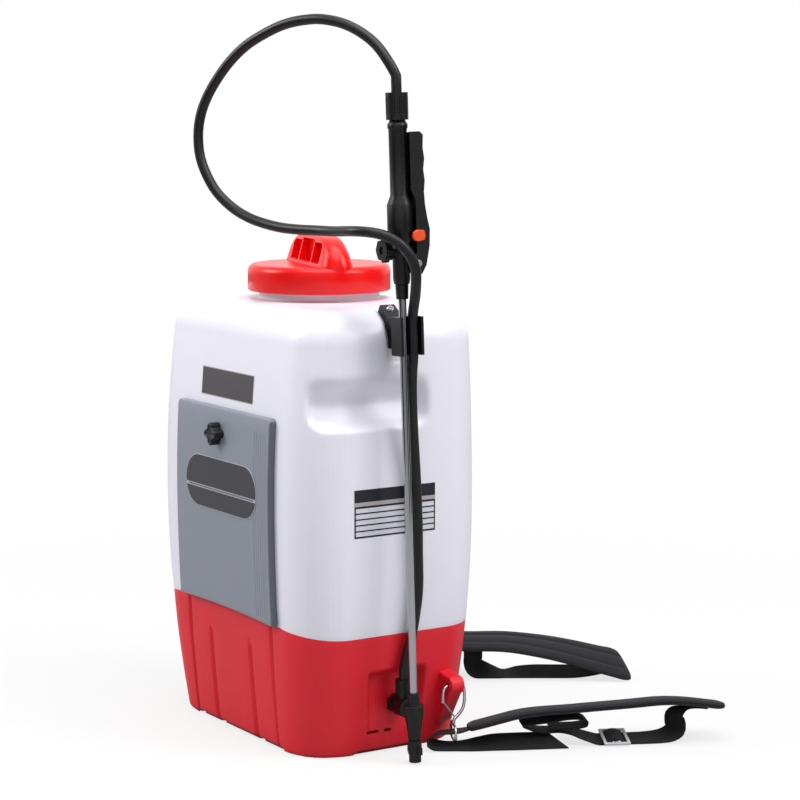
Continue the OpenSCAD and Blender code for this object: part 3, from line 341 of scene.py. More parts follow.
# one skin for every moulded piece: a slow mottle in the colour, an uneven gloss and a fine grain
mould_skin, given, result = skin_group(
    "mould_skin", ("Colour", "Mottle", "Grain", "Roughness", "Spread"), ("Colour", "Roughness", "Height"))
place = add_node(mould_skin, "TexCoord")["Object"]
cloud = add_node(mould_skin, "TexNoise", Vector=place, Scale=22.0, Detail=4.0)["Fac"]
grain = add_node(mould_skin, "TexNoise", Vector=place, Scale=given["Grain"], Detail=2.0)["Fac"]
swing = add_math(mould_skin, "SUBTRACT", cloud, 0.5)
shade = add_math(mould_skin, "ADD", add_math(mould_skin, "MULTIPLY", swing, given["Mottle"]), 1.0)
swing = add_math(mould_skin, "SUBTRACT", grain, 0.5)
uneven = add_math(mould_skin, "MULTIPLY", swing, given["Spread"])
fill(mould_skin, result, Colour=mixed(mould_skin, "MULTIPLY", 1.0, given["Colour"], shade),
     Roughness=add_math(mould_skin, "ADD", uneven, given["Roughness"]), Height=grain)


def moulded(name, colour, roughness, mottle=0.10, grain=700.0, relief=0.06, spread=0.12, specular=0.5):
    material, tree, shader = new_material(name)
    skin = add_node(tree, "Group", {"node_tree": mould_skin}, Colour=linear(*colour), Mottle=mottle, Grain=grain,
                    Roughness=roughness, Spread=spread)
    bump = add_node(tree, "Bump", Height=skin["Height"], Strength=relief, Distance=0.0006)[0]
    fill(tree, shader, Base_Color=skin["Colour"], Roughness=skin["Roughness"], Specular_IOR_Level=specular, Normal=bump)
    return material


def add_piece(name, bm, material, body, replaced=(), sharp=35.0):
    mesh = bpy.data.meshes.new(name)
    bm.to_mesh(mesh)
    bm.free()
    for layer in ("custom_normal", "sharp_face"):
        if mesh.attributes.get(layer):
            mesh.attributes.remove(mesh.attributes[layer])
    mesh.polygons.foreach_set("use_smooth", [True] * len(mesh.polygons))
    mesh.set_sharp_from_angle(angle=radians(sharp))
    mesh.materials.clear()
    mesh.materials.append(material)
    piece = bpy.data.objects.new(name, mesh)
    scene.collection.objects.link(piece)
    if body:
        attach(piece, body)
    if replaced:
        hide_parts(*replaced)
    return piece


def give_wall(piece, thickness):
    wall = piece.modifiers.new("wall", "SOLIDIFY")
    wall.thickness = thickness
    wall.offset = -1.0


bm = bmesh.new()
rounded_block(bm, SEAM, TANK_TOP)
rounded(bm, [e for e in bm.edges if at_top(e)], SHOULDER_ROUND, 12)
levels = steps(0.1243, BAY_LOW, 0.006) + steps(BAY_LOW, BAY_TOP, 0.012)[1:]
levels += [LATCH_Z - LATCH_HALF, LATCH_Z + LATCH_HALF] + steps(0.310, SHOULDER, 0.0026)
columns = steps(LATCH_HALF, BAY_HALF, 0.013) + steps(BAY_HALF, 0.150, 0.0085)[1:]
cut_across(bm, 2, levels)
cut_across(bm, 1, steps(-0.100, 0.044, 0.003))
cut_across(bm, 0, [-x for x in reversed(columns)] + columns)
bmesh.ops.dissolve_faces(bm, faces=[f for f in bm.faces if at_top(f)], use_verts=False)
bmesh.ops.delete(bm, geom=[f for f in bm.faces if at_top(f)], context="FACES_ONLY")
drop_faces(bm, faces_where(bm, lambda n, c: c.z < SEAM + SLIVER))
shoulder_edge = [e for e in bm.edges if e.is_boundary and at_top(e)]
for v in bm.verts:
    level, corner_start = v.co.z, side_x(v.co.z) - CORNER
    draw_to_body(v)
    if abs(v.co.x) > corner_start:
        v.co.x -= copysign(1, v.co.x) * hand_recess(v.co.x, v.co.y, level)
    v.co.z += seam_arch(v.co.x, v.co.y) * (1 - ramp(level, SEAM, BAY_LOW))
bay = faces_where(bm, lambda n, c: n.y < -0.8 and abs(c.x) < BAY_HALF and BAY_LOW < c.z < BAY_TOP)
sink_faces(bm, bay, lambda co: (co.x, BAY_BACK, co.z))
latch_hole = faces_where(bm, lambda n, c: n.y < -0.8 and max(abs(c.x), abs(c.z - LATCH_Z)) < LATCH_HALF)
drop_faces(bm, latch_hole)
foot = [e for e in bm.edges if e.is_boundary and all(v.co.z < 0.135 for v in e.verts)]
for depth, height in ((0.008, None), (0.0, 0.105), (0.004, 0.100)):
    foot = extruded_ring(bm, foot, lambda co: stepped_in(co, depth, height))
bmesh.ops.contextual_create(bm, geom=foot)
neck = bmesh.ops.create_circle(bm, cap_ends=False, segments=128, radius=NECK_ROOT)["verts"]
bmesh.ops.translate(bm, vec=(0, NECK_Y, TANK_TOP), verts=neck)
neck_edge = edges_at(neck)
bmesh.ops.bridge_loops(bm, edges=shoulder_edge + neck_edge)
for radius, height in NECK_RINGS:
    neck_edge = extruded_ring(bm, neck_edge, lambda co: on_neck(co, radius, height))
face_out(bm)
hard = [e for e in bm.edges if e.calc_face_angle(0) > radians(50) and e.calc_length() > 0.0005]
rounded(bm, hard, EDGE_ROUND, 3, clamp_overlap=True)
tank_white = moulded("tank_white_plastic", (236, 235, 246), 0.34, mottle=0.05, grain=160.0, relief=0.05, spread=0.10)
tank = add_piece("tank_bottle", bm, tank_white, "body", ("tank",), sharp=60.0)
give_wall(tank, TANK_WALL)


# ---- Base
# Injection-moulded red shell that carries the tank, with pressed grooves in its front, a sunk panel in each
# side, drain slots, and an ear on each side for a strap hook. A plate closes it from below with four screws.
BASE_TOP, BASE_WALL, PANEL_X, LIP, FOOT_RISE = 0.118, 0.004, 0.14007, 0.003, 0.003
GROOVES, GROOVE_DEEP = (0.040, 0.084), 0.003
DRAIN_LOW, DRAIN_HIGH, DRAINS, DRAIN_LONG = 0.020, 0.023, (-0.028, -0.010), 0.010
EAR_X, EAR_Y, EAR_Z, EAR_ROUND, EAR_HALF, EAR_BORE = 0.163, 0.058, 0.062, 0.009, 0.0075, 0.0026


def groove(x, z):
    inner, outer = (1 - ease(abs(abs(x) - middle), 0.0015, 0.0045) for middle in GROOVES)
    return GROOVE_DEEP * max(outer, inner * (1 - ease(z, 0.090, 0.101)))


def side_panel(y, z):
    frame_y = ease(y, -0.035, -0.029) * (1 - ease(y, 0.034, 0.040))
    return max(0.0, side_x(z) - PANEL_X) * frame_y * ease(z, 0.013, 0.036) * (1 - ease(z, 0.077, 0.084))


def soften(piece, width, segments, degrees):
    edge = piece.modifiers.new("edge", "BEVEL")
    edge.width = width
    edge.segments = segments
    edge.limit_method = "ANGLE"
    edge.angle_limit = radians(degrees)


def arc(across, up, radius, start, end):
    turns = [radians(a) for a in range(start, end + 1, 10)]
    return [(across + radius * cos(t), up + radius * sin(t)) for t in turns]


def thicken(bm, faces, by):
    grown = bmesh.ops.extrude_face_region(bm, geom=faces)["geom"]
    bmesh.ops.translate(bm, vec=by, verts=verts_of(grown))


def eased_copy(node, material, ease_by=0.0004):
    """The CAD solid itself, with its facets merged and its edges eased."""
    bm = bmesh.new()
    bm.from_mesh(nodes[node].data)
    bmesh.ops.remove_doubles(bm, verts=bm.verts[:], dist=2e-5)
    bmesh.ops.dissolve_limit(bm, angle_limit=radians(1.0), verts=bm.verts[:], edges=bm.edges[:])
    body = next(name for name, members in frame["record"]["behaviour"]["bodies"].items() if node in members)
    piece = add_piece("finished_" + node, bm, material, body, (node,))
    if ease_by:
        soften(piece, ease_by, 2, 40)
    return piece


def metal(name, colour, roughness, streak=(1.0, 1.0, 1.0), scale=300.0, spread=0.14, relief=0.02):
    material, tree, shader = new_material(name)
    bright = linear(*colour)
    dull = tuple(c * 0.86 for c in bright[:3]) + (1.0,)
    aim = add_node(tree, "Mapping", Vector=add_node(tree, "TexCoord")["Object"], Scale=streak)[0]
    lines = add_node(tree, "TexNoise", Vector=aim, Scale=scale, Detail=3.0)["Fac"]
    gloss = add_node(tree, "MapRange", Value=lines, To_Min=roughness - spread / 2, To_Max=roughness + spread / 2)[0]
    bump = add_node(tree, "Bump", Height=lines, Strength=relief, Distance=0.0003)[0]
    fill(tree, shader, Base_Color=mixed(tree, "MIX", lines, dull, bright), Metallic=1.0, Roughness=gloss, Normal=bump)
    return material


bm = bmesh.new()
rounded_block(bm, 0.0, BASE_TOP)
levels = [0.0010, 0.0022, 0.004, 0.0075, 0.011, 0.0135, 0.0165, DRAIN_LOW, DRAIN_HIGH]
levels += steps(0.031, 0.071, 0.008) + steps(0.076, 0.104, 0.002) + [0.109, 0.113]
rows = [-0.056, -0.048, -0.040, -0.0375, -0.0355, -0.0335, -0.0315, -0.0295, -0.028, -0.018, -0.010, 0.0]
rows += [0.012, 0.024, 0.033, 0.035, 0.037, 0.039, 0.041, 0.056]
columns = [0.0, 0.017, 0.057, 0.068, 0.098, 0.106]
columns += [x + way * gap for x in GROOVES for gap in (0.001, 0.0025, 0.004, 0.0055) for way in (-1, 1)]
cut_across(bm, 2, levels)
cut_across(bm, 1, rows)
cut_across(bm, 0, sorted({way * x for x in columns for way in (-1, 1)}))
drop_faces(bm, faces_where(bm, lambda n, c: abs(n.z) > 0.9))
for v in bm.verts:
    x, y, z = v.co
    at_front, at_side = y < 0.0005 - HALF_DEEP, abs(x) > HALF_WIDE - 0.0005
    draw_to_body(v)
    if at_front:
        v.co.y += groove(x, z)
    if at_side:
        v.co.x -= copysign(side_panel(y, z), x)
    lip = LIP * (1 - ramp(z, 0.0, 0.004)) ** 2
    v.co.x -= copysign(lip, x) * ramp(abs(x), 0.0, 0.110)
    v.co.y -= copysign(lip, y) * ramp(abs(y), 0.0, 0.055)
    on_foot = ease(abs(x), 0.104, 0.110) if abs(y) > 0.09 else ease(abs(y), 0.050, 0.056)
    v.co.z += FOOT_RISE * (1 - on_foot) * (1 - ramp(z, 0.0, 0.011))
    v.co.z += seam_arch(v.co.x, v.co.y) * ramp(z, 0.088, BASE_TOP)
slots = faces_where(bm, lambda n, c: c.x > 0.12 and DRAIN_LOW < c.z < DRAIN_HIGH
                    and any(start < c.y < start + DRAIN_LONG for start in DRAINS))
drop_faces(bm, slots)
face_out(bm)
red = moulded("base_red_plastic", (224, 33, 49), 0.42, grain=620.0, relief=0.10, specular=0.32)
base = add_piece("base_moulding", bm, red, "body", ("base_shell",), sharp=70.0)
give_wall(base, BASE_WALL)
soften(base, 0.0008, 2, 60)

bm = bmesh.new()
for side in (-1, 1):
    outline = [(0.136, 0.018), (0.148, 0.024), (0.166, 0.0535)] + arc(EAR_X, EAR_Z, EAR_ROUND, -40, 100)
    outline += [(0.152, 0.0725), (0.136, 0.080)]
    rim = [bm.verts.new((side * x, EAR_Y - EAR_HALF, z)) for x, z in outline]
    rim_edges = [bm.edges.new((rim[i - 1], rim[i])) for i in range(len(rim))]
    pivot = Matrix.Translation((side * EAR_X, EAR_Y - EAR_HALF, EAR_Z)) @ Matrix.Rotation(pi / 2, 4, "X")
    bore = bmesh.ops.create_circle(bm, cap_ends=False, segments=24, radius=EAR_BORE, matrix=pivot)["verts"]
    sheet = bmesh.ops.bridge_loops(bm, edges=rim_edges + edges_at(bore))["faces"]
    thicken(bm, sheet, (0, 2 * EAR_HALF, 0))
face_out(bm)
ears = add_piece("base_ears", bm, red, "body")
soften(ears, 0.0014, 3, 40)

dark_red = moulded("base_plate_plastic", (150, 30, 38), 0.5, grain=500.0, relief=0.12)
eased_copy("base_plate", dark_red)
screw_steel = metal("screw_steel", (176, 178, 182), 0.32)
eased_copy("base_screws", screw_steel, 0.0002)


# ---- Water path inside the base
# Diaphragm pump on rubber feet, with a clear suction hose from the tank and a black pressure hose to the
# outlet. None of it shows on the closed sprayer.
black = moulded("black_moulding", (12, 12, 14), 0.36, mottle=0.16, grain=760.0, relief=0.10, specular=0.34)
clear_hose = moulded("suction_hose_vinyl", (196, 200, 198), 0.3)
soft_black = moulded("black_rubber", (20, 20, 22), 0.62, grain=900.0, relief=0.10, specular=0.22)
motor_can = metal("motor_can", (150, 152, 156), 0.38)
for node, material, slot in (
    ("tank_outlet", black, "black_plastic"), ("suction_hose", clear_hose, "suction_rubber"),
    ("pump_head", black, "black_plastic"), ("pump_motor", motor_can, "motor_metal"),
    ("pump_mounts", soft_black, "seal_rubber"), ("pressure_hose", soft_black, "hose_rubber"),
):
    eased_copy(node, material, 0.0006)


# ---- Outlet, switch and charging socket
# Black nylon elbow through the right panel, held by a lock nut, with a ribbed nut that grips the hose. The
# left panel holds a rocker switch and the charging socket.
for node, ease_by in (
    ("outlet_elbow", 0.0005), ("outlet_lock_nut", 0.0007), ("outlet_hose_nut", 0.0004), ("switch_body", 0.0007),
    ("charge_socket", 0.0005),
):
    eased_copy(node, black, ease_by)
rocker_red = moulded("rocker_red_plastic", (188, 26, 28), 0.3)
eased_copy("switch_rocker", rocker_red, 0.0005)


# ---- Filler
# White strainer basket that hangs in the neck, a rubber gasket, and the red screw cap with a hollowed grip
# bar across it and a small air valve underneath.
CAP_R, CAP_LOW, CAP_TOP, CAP_UNDER, CAP_BORE, CAP_ROUND = 0.071, 0.438, 0.464, 0.4608, 0.062, 0.007
GRIP_RISE, GRIP_DROP, GRIP_TURN, GRIP_STRAIGHT, STRAIGHT_SHARE = 0.029, 0.0075, -13.0, 0.050, 0.70
GRIP_CROWN, POCKET_LOW, POCKET_BACK = 0.0245, 0.0022, 0.0042
POCKETS = ((-0.046, -0.0214, 0.0222), (-0.0186, 0.0186, GRIP_CROWN), (0.0214, 0.046, 0.0222))
NOSE = (
    (-GRIP_DROP, 0.0709), (0.0, 0.0709), (0.004, 0.0700), (0.011, 0.0668), (0.017, 0.0620), (0.021, 0.0570),
    (0.0245, 0.0500), (0.027, 0.0420), (0.0284, 0.0310), (GRIP_RISE, 0.0200),
)


def revolve(bm, profile, sides, placed):
    """Turns an outline of radius and height round the Z axis, then places it."""
    line = [bm.verts.new((radius, 0, height)) for radius, height in profile]
    edges = [bm.edges.new(pair) for pair in zip(line, line[1:])]
    bmesh.ops.spin(bm, geom=line + edges, cent=(0, 0, 0), axis=(0, 0, 1), angle=tau, steps=sides, use_merge=True)
    bmesh.ops.remove_doubles(bm, verts=bm.verts[:], dist=SLIVER)
    face_out(bm)
    bmesh.ops.transform(bm, matrix=placed, verts=bm.verts[:])


def along_list(points, value):
    for (low, first), (high, second) in zip(points, points[1:]):
        if value <= high:
            return first + (second - first) * (value - low) / (high - low)
    return points[-1][1]


def bar_half_width(z):
    if z < GRIP_CROWN:
        return 0.0168 - 0.0066 * ramp(z, 0.0, GRIP_CROWN) ** 0.85
    return 0.0102 - 0.0046 * (1 - sqrt(max(0.0, 1 - ramp(z, GRIP_CROWN, GRIP_RISE) ** 2)))


strainer_white = moulded("strainer_plastic", (226, 228, 230), 0.5)
eased_copy("strainer", strainer_white, 0.0003)
eased_copy("cap_gasket", soft_black, 0.0004)
eased_copy("cap_vent", black, 0.0004)

bm = bmesh.new()
profile = [(0.0, CAP_UNDER), (CAP_BORE, CAP_UNDER), (CAP_BORE, CAP_LOW + 0.0006), (CAP_BORE + 0.0006, CAP_LOW)]
profile += [(CAP_R - 0.0008, CAP_LOW), (CAP_R, CAP_LOW + 0.0008)]
profile += arc(CAP_R - CAP_ROUND, CAP_TOP - CAP_ROUND, CAP_ROUND, 0, 90) + [(0.054, CAP_TOP), (0.0, CAP_TOP)]
revolve(bm, profile, 128, Matrix.Translation((0, NECK_Y, 0)))
cap_red = moulded("cap_red_plastic", (238, 14, 16), 0.26, mottle=0.03, grain=320.0, relief=0.012, spread=0.03,
                  specular=0.34)
add_piece("cap_skirt", bm, cap_red, "cap", ("tank_cap",), sharp=50.0)

# the bar starts as a box of half length 1; STRAIGHT_SHARE of that is its straight part, the rest its nose
bm = bmesh.new()
add_box(bm, (2.0, 1.0, GRIP_RISE + GRIP_DROP), (0, 0, (GRIP_RISE - GRIP_DROP) / 2))
columns = [place / GRIP_STRAIGHT * STRAIGHT_SHARE for pocket in POCKETS for place in pocket[:2]]
columns += [-0.35, -0.13, 0.0, 0.13, 0.35]
columns += [way * (STRAIGHT_SHARE + (1 - STRAIGHT_SHARE) * turn) for way in (-1, 1)
            for turn in (0.12, 0.26, 0.40, 0.54, 0.67, 0.78, 0.87, 0.94, 0.98)]
levels = [0.0, POCKET_LOW, 0.0065, 0.011, 0.015, 0.019, 0.0222, GRIP_CROWN, 0.0258, 0.0270, 0.0279, 0.0286]
cut_across(bm, 0, columns)
cut_across(bm, 2, levels)
for v in bm.verts:
    share, height = abs(v.co.x), v.co.z
    tip, wide = along_list(NOSE, height), bar_half_width(height)
    straight = min(GRIP_STRAIGHT, tip - 0.009)
    reach = straight * min(1.0, share / STRAIGHT_SHARE) + (tip - straight) * ramp(share, STRAIGHT_SHARE, 1.0)
    v.co.x = copysign(reach, v.co.x)
    v.co.y = copysign(wide * sqrt(max(0.0, 1 - ramp(reach, tip - wide, tip) ** 2)), v.co.y)
bmesh.ops.remove_doubles(bm, verts=bm.verts[:], dist=2e-5)
bmesh.ops.dissolve_degenerate(bm, edges=bm.edges[:], dist=1e-5)
face_out(bm)
for start, end, top in POCKETS:
    for way in (-1, 1):
        mouth = faces_where(bm, lambda n, c: n.y * way > 0.3 and start < c.x < end and POCKET_LOW < c.z < top)
        sink_faces(bm, mouth, lambda co: (co.x, way * POCKET_BACK, co.z))
face_out(bm)
placed = Matrix.Translation((0, NECK_Y, CAP_TOP)) @ Matrix.Rotation(radians(GRIP_TURN), 4, "Z")
bmesh.ops.transform(bm, matrix=placed, verts=bm.verts[:])
grip = add_piece("cap_grip_bar", bm, cap_red, "cap", sharp=42.0)
soften(grip, 0.0008, 3, 42)


# ---- Battery and its cover
# A sealed lead battery stands in the bay behind a bowed grey cover, whose feet hook into the bay's floor and
# whose lobed knob latches it to the tank. A dark plate in two halves sits on the cover.
COVER_LEFT, COVER_RIGHT, COVER_LOW, COVER_TOP = -0.088, 0.099, 0.130, 0.327
COVER_IN, COVER_OUT, COVER_RIM, HOLLOW_DEEP = 0.0005, 0.0075, 0.004, 0.0045
RIBS, RIB_HALF, RIB_DEEP = [0.0716 + i * 0.0042 for i in range(6)], 0.0003, 0.00018
BADGE_X, BADGE_Z, BADGE_HALF, BADGE_HALF_TALL, BADGE_ROUND = 0.006, 0.251, 0.071, 0.026, 0.0245
SPLIT_Z, SPLIT_HALF_LONG, SPLIT_HALF = 0.2455, 0.066, 0.0005
KNOB_TALL, KNOB_WAIST, LOBE_AT, LOBE_R, STUD_R = 0.010, 0.0078, 0.007, 0.0042, 0.003


def rectangle(bm, left, right, low, high):
    return bm.faces.new([bm.verts.new((x, 0, z)) for x, z in ((left, low), (right, low), (right, high), (left, high))])


def bow_to_front(bm, out):
    for v in bm.verts:
        v.co.y -= front_y(v.co.z) + out


battery_case = moulded("battery_case_plastic", (46, 48, 54), 0.5)
eased_copy("battery", battery_case, 0.0012)

bm = bmesh.new()
sheet = rectangle(bm, COVER_LEFT, COVER_RIGHT, COVER_LOW - 0.004, COVER_TOP)
rounded(bm, sheet.verts[2:], 0.0048, 6, "VERTICES")
rib_sides = [rib + side for rib in RIBS for side in (-RIB_HALF, RIB_HALF)]
cut_across(bm, 0, steps(COVER_LEFT + COVER_RIM, 0.064, 0.0103) + rib_sides + [COVER_RIGHT - COVER_RIM])
cut_across(bm, 2, [0.134, 0.136] + steps(0.144, 0.290, 0.0097) + [0.300, 0.309, 0.313])
for v in bm.verts:
    if v.co.z < COVER_LOW:
        v.co.z = COVER_LOW - v.co.x ** 2 / 3.6
thicken(bm, bm.faces[:], (0, COVER_IN - COVER_OUT, 0))
face_out(bm)
brim = [e for e in bm.edges if e.calc_face_angle(0) > 1.0 and all(v.co.y < -0.004 for v in e.verts)]
rounded(bm, brim, 0.0018, 4)
hollow = faces_where(bm, lambda n, c: n.y > 0.9 and COVER_LEFT + COVER_RIM < c.x < COVER_RIGHT - COVER_RIM
                     and 0.136 < c.z < 0.290)
sink_faces(bm, hollow, lambda co: (co.x, co.y - HOLLOW_DEEP, co.z))
ribs = faces_where(bm, lambda n, c: n.y < -0.9 and 0.134 < c.z < 0.313
                   and any(abs(c.x - rib) < RIB_HALF for rib in RIBS))
sink_faces(bm, ribs, lambda co: (co.x, co.y + RIB_DEEP, co.z))
bow_to_front(bm, COVER_IN)
for side in (-1, 1):
    add_box(bm, (0.024, 0.016, 0.003), (side * 0.048, -0.0995, 0.1438))
face_out(bm)
cover_grey = moulded("cover_grey_plastic", (136, 141, 153), 0.36, mottle=0.05, grain=560.0, relief=0.04, specular=0.4)
# painted shade: the cover's right side wall is darkened to about half of its face's colour, standing in for the shade
# it sits in
tree = cover_grey.node_tree
across = add_node(tree, "SeparateXYZ", Vector=add_node(tree, "TexCoord")["Object"])["X"]
painted_wall_shade = add_node(tree, "MapRange", Value=across, From_Min=COVER_RIGHT - 0.0010, From_Max=COVER_RIGHT - 0.0002,
                      To_Min=1.0, To_Max=0.52)[0]
face_colour = tree.nodes["Principled BSDF"].inputs["Base Color"]
put(tree, face_colour, mixed(tree, "MULTIPLY", 1.0, face_colour.links[0].from_socket, painted_wall_shade))
add_piece("battery_cover_panel", bm, cover_grey, "door", ("battery_cover",), sharp=38.0)

badge_film = moulded("badge_charcoal_film", (58, 58, 66), 0.34, mottle=0.05, relief=0.03, specular=0.3)
badge_silver = moulded("badge_rim_film", (172, 174, 180), 0.34, mottle=0.05, relief=0.03)
line_blue = moulded("badge_line_film", (84, 88, 112), 0.34, relief=0.02, specular=0.3)
for name, grow, thick, gap, film_colour in (
    ("cover_badge_rim", 0.0, 0.0005, 0.0, badge_silver),
    ("cover_badge_halves", -0.0008, 0.0009, 0.0034, badge_film),
):
    bm = bmesh.new()
    wide, tall = BADGE_HALF + grow, BADGE_HALF_TALL + grow
    plate = rectangle(bm, BADGE_X - wide, BADGE_X + wide, BADGE_Z - tall, BADGE_Z + tall)
    rounded(bm, plate.verts[:], BADGE_ROUND, 14, "VERTICES")
    cut_across(bm, 2, [0.232, 0.238, SPLIT_Z - gap / 2, SPLIT_Z + gap / 2, 0.254, 0.260, 0.266, 0.271])
    drop_faces(bm, faces_where(bm, lambda n, c: abs(c.z - SPLIT_Z) < gap / 2))
    thicken(bm, bm.faces[:], (0, -thick, 0))
    bow_to_front(bm, COVER_OUT)
    face_out(bm)
    badge = add_piece(name, bm, film_colour, "door", ("cover_badge",) if gap else (), sharp=40.0)
    soften(badge, 0.0002, 2, 50)

bm = bmesh.new()
rectangle(bm, BADGE_X - SPLIT_HALF_LONG, BADGE_X + SPLIT_HALF_LONG, SPLIT_Z - SPLIT_HALF, SPLIT_Z + SPLIT_HALF)
thicken(bm, bm.faces[:], (0, -0.0003, 0))
bow_to_front(bm, COVER_OUT + 0.0004)
face_out(bm)
add_piece("cover_badge_line", bm, line_blue, "door")

bm = bmesh.new()
for v in bmesh.ops.create_circle(bm, cap_ends=True, segments=96, radius=1.0)["verts"]:
    angle = atan2(v.co.y, v.co.x)
    off = (angle + pi / 4) % (pi / 2) - pi / 4
    aside = LOBE_AT * sin(off)
    lobe = LOBE_AT * cos(off) + sqrt(LOBE_R ** 2 - aside ** 2) if abs(aside) < LOBE_R else 0.0
    v.co.xy = Vector((cos(angle), sin(angle))) * max(KNOB_WAIST, lobe)
thicken(bm, bm.faces[:], (0, 0, KNOB_TALL))
face_out(bm)
crown = faces_where(bm, lambda n, c: n.z > 0.9)
rounded(bm, list({e for f in crown for e in f.edges}), 0.0012, 3)
crown = faces_where(bm, lambda n, c: n.z > 0.99 and c.z > KNOB_TALL - 0.0001)
bmesh.ops.inset_region(bm, faces=crown, thickness=0.0022, depth=0.0)
bmesh.ops.translate(bm, vec=(0, 0, -0.0012), verts=list({v for f in crown for v in f.verts}))
bmesh.ops.create_cone(bm, cap_ends=True, segments=24, radius1=STUD_R, radius2=STUD_R, depth=0.018,
                      matrix=Matrix.Translation((0, 0, -0.0075)))
knob_face = front_y(LATCH_Z) + COVER_OUT + 0.0006
placed = Matrix.Translation((0, -knob_face, LATCH_Z)) @ Matrix.Rotation(pi / 2, 4, "X")
bmesh.ops.transform(bm, matrix=placed, verts=bm.verts[:])
gloss_black = moulded("knob_black_plastic", (18, 18, 20), 0.3, specular=0.34)
add_piece("cover_latch_knob", bm, gloss_black, "latch", ("cover_knob",), sharp=40.0)

# bush in the tank wall that the latch stud turns in
bm = bmesh.new()
ring = [(0.0033, 0.012), (0.0033, -0.0002), (0.0037, -0.0005), (0.0084, -0.0005), (0.009, 0.0001), (0.009, 0.012)]
placed = Matrix.Translation((0, -front_y(LATCH_Z), LATCH_Z)) @ Matrix.Rotation(-pi / 2, 4, "X")
revolve(bm, ring + ring[:1], 40, placed)
add_piece("latch_bush", bm, tank_white, "body", sharp=40.0)


# ---- Bare plates
# Two plain films stuck on the tank: a dark strip above the cover, and a framed panel of blank rows on the
# right side.
FILM_UNDER, FILM_OVER = 0.00025, 0.00035
ROW_LEVELS, ROW_TALL = (0.2182, 0.2238, 0.2294, 0.2350, 0.2406), 0.0042


def on_front(x, z, out):
    return x, -front_y(z) - out, z


def on_right(y, z, out):
    return side_x(z) + out, y, z


rows = [(-0.0505, 0.0370, low, low + ROW_TALL) for low in ROW_LEVELS]
for name, film_name, colour, gloss, specular, to_surface, thick, spans in (
    ("front_strip_border", "strip_border_film", (150, 148, 150), 0.36, 0.5, on_front, FILM_UNDER,
     [(-0.052, 0.052, 0.3355, 0.3630)]),
    ("front_strip", "strip_dark_film", (74, 70, 74), 0.36, 0.3, on_front, FILM_OVER,
     [(-0.0512, 0.0512, 0.3363, 0.3622)]),
    ("side_panel_frame", "panel_dark_film", (36, 36, 44), 0.34, 0.3, on_right, FILM_UNDER,
     [(-0.052, 0.0385, 0.2165, 0.2625)]),
    ("side_panel_band", "panel_band_film", (172, 166, 170), 0.36, 0.5, on_right, FILM_OVER,
     [(-0.052, 0.0385, 0.2468, 0.2506)]),
    ("side_panel_rows", "panel_pale_film", (214, 214, 224), 0.36, 0.5, on_right, FILM_OVER, rows),
):
    bm = bmesh.new()
    for span in spans:
        bmesh.ops.subdivide_edges(bm, edges=rectangle(bm, *span).edges[:], cuts=5, use_grid_fill=True)
    for v in bm.verts:
        v.co = to_surface(v.co.x, v.co.z, thick)
    face_out(bm)
    add_piece(name, bm, moulded(film_name, colour, gloss, relief=0.02, specular=specular), "body")


# ---- Clip
# Black clip screwed over the right shoulder, with one open channel for the lance tube and one for the hose.
eased_copy("lance_clip", black, 0.0009)
eased_copy("clip_screw", screw_steel, 0.0002)


# ---- Lance
# Stainless tube with a black nozzle at its foot and the trigger handle at its top: a grip with a cross valve,
# a channel lever on a steel pin, and an orange lock on the lever's flank.
LANCE_FOOT = Vector((0.191, -0.0045, 0.002))
LANCE_TURN = Matrix.Rotation(radians(-1), 3, "Y") @ Matrix.Rotation(radians(1.27), 3, "X")


def lance_at(up, back):
    return LANCE_FOOT + LANCE_TURN @ Vector((0, back, up))


steel = metal("tube_steel", (186, 188, 194), 0.08, streak=(1.0, 1.0, 0.05), scale=900.0, spread=0.06, relief=0.01)
brass = metal("valve_brass", (196, 160, 92), 0.3)
lock_orange = moulded("lock_orange_plastic", (240, 78, 22), 0.34)
for node, ease_by in (
    ("lance_nut", 0.0005), ("nozzle_body", 0.0006), ("nozzle_cap", 0.0006), ("handle_body", 0.0006),
    ("handle_hose_nut", 0.0004), ("valve_plug", 0.0006), ("trigger_lever", 0.0008),
):
    eased_copy(node, black, ease_by)
eased_copy("lance_tube", steel, 0.0002)
eased_copy("nozzle_seal", soft_black, 0.0)
eased_copy("handle_filter", strainer_white, 0.0)
eased_copy("valve_stem", brass, 0.0002)
eased_copy("trigger_pin", screw_steel, 0.0002)
eased_copy("trigger_lock", lock_orange, 0.0006)
spring = eased_copy("valve_spring", screw_steel, 0.0)
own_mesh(spring)


